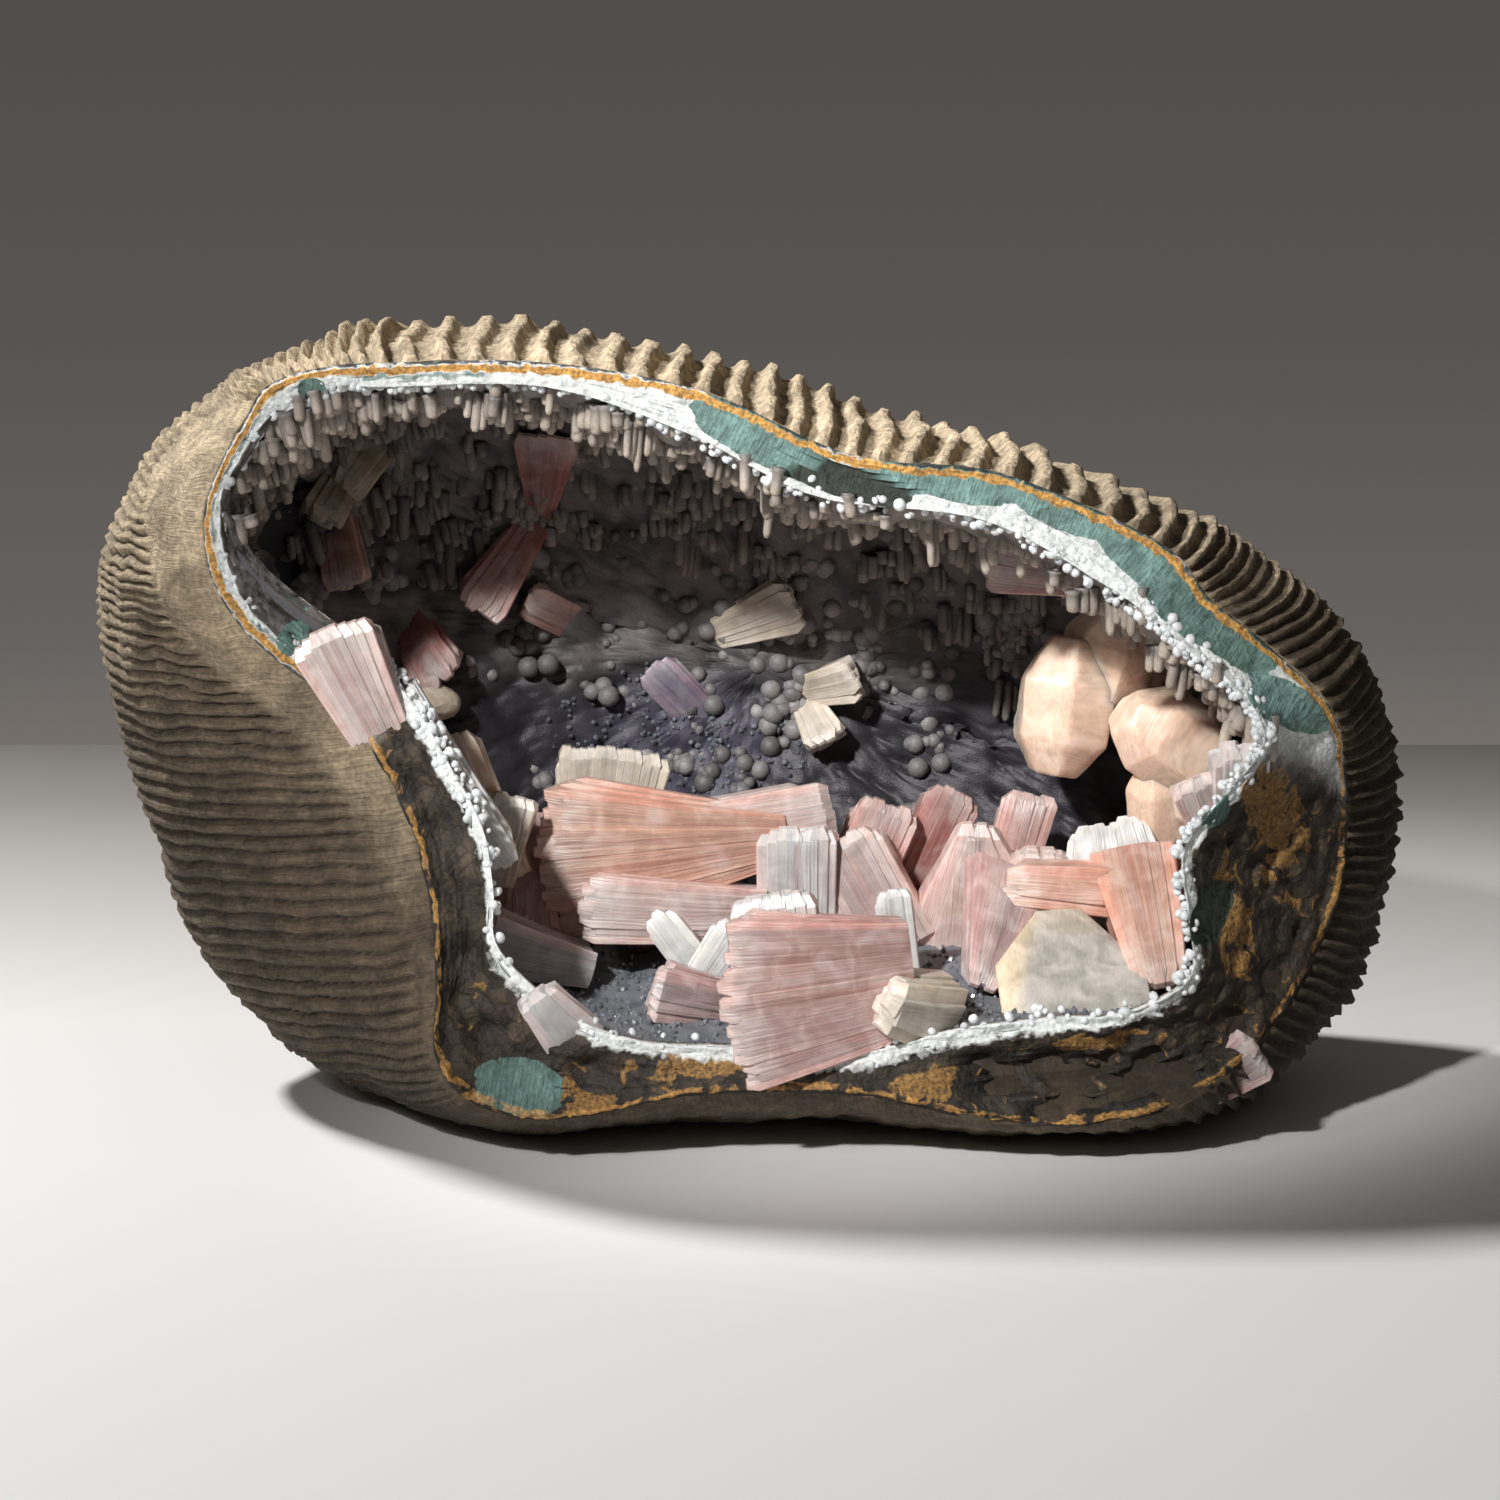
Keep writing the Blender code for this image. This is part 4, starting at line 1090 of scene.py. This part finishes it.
class Finish:
    """A Principled material whose nodes are added one by one."""

    def __init__(self, name, **constants):
        self.material = bpy.data.materials.new(name)
        self.material.use_nodes = True
        self.tree = self.material.node_tree
        self.shader = self.tree.nodes["Principled BSDF"]
        self.wear(**constants)

    def feed(self, socket, value):
        """Links a socket to another one, or sets it. An array of three is a colour."""
        if isinstance(value, bpy.types.NodeSocket):
            self.tree.links.new(value, socket)
        else:
            socket.default_value = (*value, 1) if isinstance(value, np.ndarray) else value

    def add(self, kind, settings=None, **inputs):
        made = self.tree.nodes.new("ShaderNode" + kind)
        for key, value in (settings or {}).items():
            setattr(made, key, value)
        for key, value in inputs.items():
            self.feed(made.inputs[key.replace("_", " ")], value)
        return made

    def attribute(self, name):
        made = self.add("Attribute", {"attribute_name": name})
        return made.outputs["Color" if name == "tint" else "Vector"]

    def split(self, vector):
        return self.add("SeparateXYZ", Vector=vector).outputs

    def place(self):
        return self.add("TexCoord").outputs["Object"]

    def scaled(self, vector, scale):
        return self.add("Mapping", Vector=vector, Scale=scale).outputs["Vector"]

    def speckle(self, vector, scale, detail=4.0, distortion=0.0):
        made = self.add("TexNoise", Vector=vector, Scale=scale, Detail=detail, Distortion=distortion)
        return made.outputs["Fac"]

    def between(self, value, low, high, to_low=0.0, to_high=1.0):
        """Turns a range of values into another one, and holds it at both ends."""
        made = self.add("MapRange", Value=value, From_Min=low, From_Max=high, To_Min=to_low, To_Max=to_high)
        return made.outputs["Result"]

    def blend(self, share, first, second, kind="MIX"):
        made = self.add("Mix", {"data_type": "RGBA", "blend_type": kind})
        for number, value in ((0, share), (6, first), (7, second)):
            self.feed(made.inputs[number], value)
        return made.outputs[2]

    def worked(self, operation, *numbers):
        made = self.add("Math", {"operation": operation})
        for socket, number in zip(made.inputs, numbers):
            self.feed(socket, number)
        return made.outputs[0]

    def product(self, first, second):
        return self.worked("MULTIPLY", first, second)

    def sum(self, value, extra, share):
        """The value and a share of another one."""
        return self.worked("MULTIPLY_ADD", extra, share, value)

    def shaded(self, colour, value, low, high):
        """The colour made darker and lighter by a pattern."""
        return self.blend(1.0, colour, self.between(value, 0.3, 0.7, low, high), "MULTIPLY")

    def bumpy(self, *layers):
        """The normal of a surface with layers of (pattern, strength, depth)."""
        normal = None
        for height, strength, depth in layers:
            made = self.add("Bump", Height=height, Strength=strength, Distance=depth)
            if normal:
                self.feed(made.inputs["Normal"], normal)
            normal = made.outputs["Normal"]
        return normal

    def wear(self, **sockets):
        for key, value in sockets.items():
            self.feed(self.shader.inputs[key.replace("_", " ").title().replace("Ior", "IOR")], value)
        return self.material


def rind_finish():
    made = Finish("weathered_basalt", roughness=0.86)
    place, grain = made.place(), made.attribute("grain")
    chisel = made.speckle(made.scaled(grain, (7.0, 0.3, 1)), 1.0, 4.0, 0.5)
    grit = made.speckle(place, 1100, 6.0)
    patch = made.speckle(place, 190, 7.0, 0.8)
    colour = made.shaded(made.attribute("tint"), patch, 0.62, 1.35)
    colour = made.shaded(made.shaded(colour, chisel, 0.62, 1.3), grit, 0.7, 1.3)
    normal = made.bumpy((patch, 0.5, 0.0012), (chisel, 0.6, 0.0008), (grit, 0.5, 0.0006))
    return made.wear(base_color=colour, normal=normal)


def rim_finish():
    """The layers of the broken rim. Their borders are drawn crisply between the piece's points."""
    made = Finish("rim_rock", roughness=0.72)
    place = made.place()
    edge, mouth, bare = made.split(made.attribute("borders"))
    in_block, green_number, stained = made.split(made.attribute("blocks"))
    sunk = made.split(made.attribute("sunk"))["X"]
    ragged = made.speckle(place, 420, 6.0, 0.4)
    patch = made.speckle(place, 260, 7.0, 0.8)
    grit = made.speckle(place, 1500, 6.0)
    wander = made.between(ragged, 0.25, 0.75, -1.3, 1.3)
    edge = made.sum(edge, wander, 0.5)
    mouth = made.sum(mouth, wander, 1.1)
    cracks = made.add("TexVoronoi", {"feature": "DISTANCE_TO_EDGE"}, Vector=place, Scale=330.0).outputs[0]
    # Broken basalt with cracks and ochre stains
    colour = made.shaded(made.attribute("tint"), patch, 0.35, 1.7)
    colour = made.blend(made.between(cracks, 0.0, 0.09, 0.75, 0.0), colour, ROCK["black"] * 0.3)
    spots = made.sum(made.between(patch, 0.3, 0.7, -0.6, 0.6), stained, 0.42)
    stain = made.product(made.between(spots, -0.02, 0.1, 0.0, 0.85), made.between(grit, 0.35, 0.6, 0.3))
    colour = made.blend(stain, colour, ROCK["ochre"] * 0.62)
    # White chalcedony, and the grey wall inside it
    snow = made.shaded(ROCK["white"], made.speckle(place, 900, 4.0), 0.78, 1.08)
    white = made.worked("MAXIMUM", made.between(mouth, 3.2, 2.2), made.between(bare, 1.0, 0.0))
    white = made.product(white, made.between(sunk, 0.7, 0.3))
    colour = made.blend(white, colour, made.shaded(snow, ragged, 0.8, 1.08))
    wall = made.shaded(made.shaded(CRUST["roof"] * 0.45, ragged, 0.3, 1.5), patch, 0.5, 1.4)
    colour = made.blend(made.between(sunk, 0.35, 0.65), colour, wall)
    # Celadonite in a thin line and in blocks
    thin = made.product(made.between(edge, 1.9, 2.1), made.between(edge, 2.9, 2.6))
    thin = made.product(thin, made.between(made.speckle(place, 110, 2.0), 0.5, 0.56, 0.0, 0.8))
    thin = made.product(thin, made.between(bare, 0.3, 0.0))
    colour = made.blend(thin, colour, ROCK["teal"] * 0.7)
    fibres = made.speckle(made.scaled(made.attribute("grain"), (2.6, 0.16, 1)), 1.0, 3.0, 0.3)
    green = made.blend(made.between(green_number, 0.2, 0.6), ROCK["teal"], ROCK["green"])
    green = made.blend(made.between(green_number, 0.6, 0.9), green, ROCK["black_green"])
    green = made.shaded(made.shaded(green, fibres, 0.55, 1.3), patch, 0.6, 1.3)
    colour = made.blend(made.between(made.sum(in_block, wander, 0.13), 0.0, 0.05), colour, green)
    # Ochre seam and the dark outer edge
    seam = made.product(made.between(edge, 0.35, 0.55), made.between(edge, 1.95, 1.7))
    gaps = made.product(bare, made.between(patch, 0.4, 0.5, 1.0, 0.4))
    seam = made.product(seam, made.between(gaps, 0.9, 0.1))
    ochre = made.shaded(made.shaded(ROCK["ochre"], grit, 0.55, 1.35), ragged, 0.7, 1.25)
    colour = made.blend(seam, colour, ochre)
    colour = made.blend(made.between(edge, 0.1, 0.4, 0.9, 0.0), colour, ROCK["black"])
    rough = ((cracks, 0.35, 0.0012), (patch, 0.9, 0.0012), (grit, 0.5, 0.0005), (fibres, 0.4, 0.0004))
    return made.wear(base_color=made.shaded(colour, grit, 0.8, 1.2), normal=made.bumpy(*rough))


def chalcedony_finish():
    made = Finish(
        "grey_chalcedony", roughness=0.5, subsurface_weight=0.3, subsurface_scale=0.002,
        subsurface_radius=(1.0, 0.95, 0.9),
    )
    place = made.place()
    frost = made.speckle(place, 2600, 3.0)
    colour = made.shaded(made.attribute("tint"), made.speckle(place, 260, 3.0), 0.8, 1.2)
    colour = made.shaded(colour, frost, 0.86, 1.14)
    return made.wear(base_color=colour, normal=made.bumpy((frost, 0.45, 0.0003)))


def druse_finish():
    made = Finish("quartz_points", roughness=0.14, coat_weight=0.5)
    cloud = made.speckle(made.place(), 400, 2.0)
    return made.wear(base_color=made.shaded(made.attribute("tint"), cloud, 0.8, 1.25))


def crystal_finish(name, roughness, glow, radius, lines):
    """Pearly crystal with growth lines along its blades."""
    made = Finish(
        name, roughness=roughness, subsurface_weight=glow, subsurface_scale=0.0035,
        subsurface_radius=radius, coat_weight=0.25, coat_roughness=0.2,
    )
    striae = made.speckle(made.scaled(made.attribute("grain"), (2.8, 0.11, 1)), 1.0, 4.0, 0.25)
    mosaic = made.speckle(made.place(), 210, 3.0, 0.8)
    colour = made.shaded(made.attribute("tint"), striae, 0.86, 1.1)
    colour = made.shaded(colour, mosaic, 0.82, 1.16)
    colour = made.blend(made.between(mosaic, 0.45, 0.75, 0.0, 0.35), colour, np.array((0.80, 0.72, 0.70)))
    normal = made.bumpy((striae, lines, 0.0005), (mosaic, 0.2, 0.0005))
    return made.wear(base_color=colour, normal=normal)


def ramp_of(tree, value, low, high, stops):
    """A colour that changes with a value, by stops of (share, grey)."""
    spread = tree.nodes.new("ShaderNodeMapRange")
    spread.inputs["From Min"].default_value = low
    spread.inputs["From Max"].default_value = high
    tree.links.new(value, spread.inputs["Value"])
    ramp = tree.nodes.new("ShaderNodeValToRGB")
    tree.links.new(spread.outputs["Result"], ramp.inputs["Fac"])
    points = ramp.color_ramp.elements
    for share, _ in stops[2:]:
        points.new(share)
    for point, (share, grey) in zip(points, sorted(stops)):
        point.position = share
        point.color = (*tone(*grey), 1)
    return ramp.outputs["Color"]


def stage_floor():
    """A plain pale floor that ends behind the specimen. It is darker far away, where less light falls."""
    floor = new_primitive("floor", bpy.ops.mesh.primitive_plane_add, size=2)
    for vertex in floor.data.vertices:
        vertex.co.x *= 4
        vertex.co.y = FLOOR_END if vertex.co.y > 0 else -3
    made = Finish("floor_card", roughness=0.6)
    split = made.add("SeparateXYZ", Vector=made.place())
    stops = [
        (0.0, (226, 226, 226)), (1.0, (98, 95, 92)), (0.25, (218, 217, 216)),
        (0.5, (180, 178, 176)), (0.8, (128, 125, 122)),
    ]
    colour = ramp_of(made.tree, split.outputs["Y"], -0.05, FLOOR_END, stops)
    floor.data.materials.append(made.wear(base_color=colour))


def studio_world():
    """Dark grey all round, a little lighter low down."""
    world = bpy.data.worlds.new("studio")
    bpy.context.scene.world = world
    world.use_nodes = True
    tree = world.node_tree
    way = tree.nodes.new("ShaderNodeTexCoord")
    split = tree.nodes.new("ShaderNodeSeparateXYZ")
    tree.links.new(way.outputs["Generated"], split.inputs[0])
    stops = [
        (0.0, (118, 113, 109)), (1.0, (82, 78, 75)), (0.17, (102, 98, 95)), (0.55, (89, 85, 82)),
    ]
    colour = ramp_of(tree, split.outputs["Z"], -0.175, -0.01, stops)
    tree.links.new(colour, tree.nodes["Background"].inputs["Color"])


def placed(name, data, place, turn):
    thing = bpy.data.objects.new(name, data)
    thing.location = place
    thing.rotation_euler = turn
    bpy.context.scene.collection.objects.link(thing)
    return thing


def lamp(name, kind, place, target, **settings):
    """A light that is turned to its target. Its settings are those of the kind of light."""
    light = bpy.data.lights.new(name, kind)
    for key, value in settings.items():
        setattr(light, key, value)
    placed(name, light, place, (Vector(target) - Vector(place)).to_track_quat("-Z", "Y").to_euler())


def set_lights():
    lamp(
        "back_left", "AREA", (-0.72, 0.42, 0.96), (0.02, 0.0, 0.05),
        shape="DISK", size=0.13, energy=20, color=(1, 0.985, 0.965),
    )
    lamp(
        "hollow_spot", "SPOT", (-0.38, -0.72, 0.62), (0.022, -0.012, 0.062), spot_size=math.radians(13.5),
        spot_blend=0.8, shadow_soft_size=0.035, energy=54, color=(1, 0.985, 0.97),
    )
    lamp("front_left", "AREA", (-0.75, -0.75, 0.8), (0.0, 0.0, 0.06), shape="DISK", size=0.3, energy=1.6)


def set_camera():
    lens = bpy.data.cameras.new("camera")
    lens.lens = 110
    lens.sensor_width = 36
    tilt = math.radians(CAMERA_TILT)
    place = (0, -CAMERA_REACH * math.cos(tilt), AIM_HEIGHT + CAMERA_REACH * math.sin(tilt))
    bpy.context.scene.camera = placed("camera", lens, place, (math.radians(90 - CAMERA_TILT), 0, 0))
    bpy.context.scene.view_settings.view_transform = "Standard"


def crystal_pieces():
    pink = crystal_finish("rose_heulandite", 0.30, 0.4, (1.0, 0.45, 0.38), 0.6)
    cream = crystal_finish("cream_stilbite", 0.34, 0.35, (1.0, 0.8, 0.6), 0.45)
    peach = crystal_finish("peach_stilbite", 0.42, 0.5, (1.0, 0.6, 0.4), 0.15)
    calcite = crystal_finish("frosted_calcite", 0.5, 0.3, (1.0, 0.9, 0.75), 0.1)
    lath = lath_shape()
    for seed, (node, rows) in enumerate(SHEAVES.items()):
        dice = random.Random(100 + seed)
        parts = [part for row in rows for part in sheaf_laths(lath, row, dice)]
        is_pink = node.startswith("heulandite")
        slot = "heulandite" if is_pink else "cream_stilbite"
        finished(crystal(node + "_laths", parts), pink if is_pink else cream, slot, node)
    for seed, (node, rows) in enumerate(BARRELS.items()):
        dice = random.Random(200 + seed)
        colour = TINTS["cream"] if node == "stilbite_pebble" else tone(242, 208, 184)
        parts = [model_barrel(row, colour, dice) for row in rows]
        slot = "cream_stilbite" if node == "stilbite_pebble" else "peach_stilbite"
        finished(crystal(node + "_barrels", parts), peach, slot, node)
    finished(model_calcite(), calcite, "calcite", "calcite_block")


def main():
    deselect()
    set_camera()
    stage_floor()
    studio_world()
    set_lights()
    finished(model_rind(), rind_finish(), "basalt", "basalt_shell")
    finished(model_rim(), rim_finish(), "basalt", "basalt_shell")
    chalcedony = chalcedony_finish()
    for piece in (model_lining(), model_fingers(), model_beads(), model_lip()):
        finished(piece, chalcedony, "chalcedony", "chalcedony_crust")
    finished(model_druse(), druse_finish(), "chalcedony", "chalcedony_crust")
    crystal_pieces()


main()
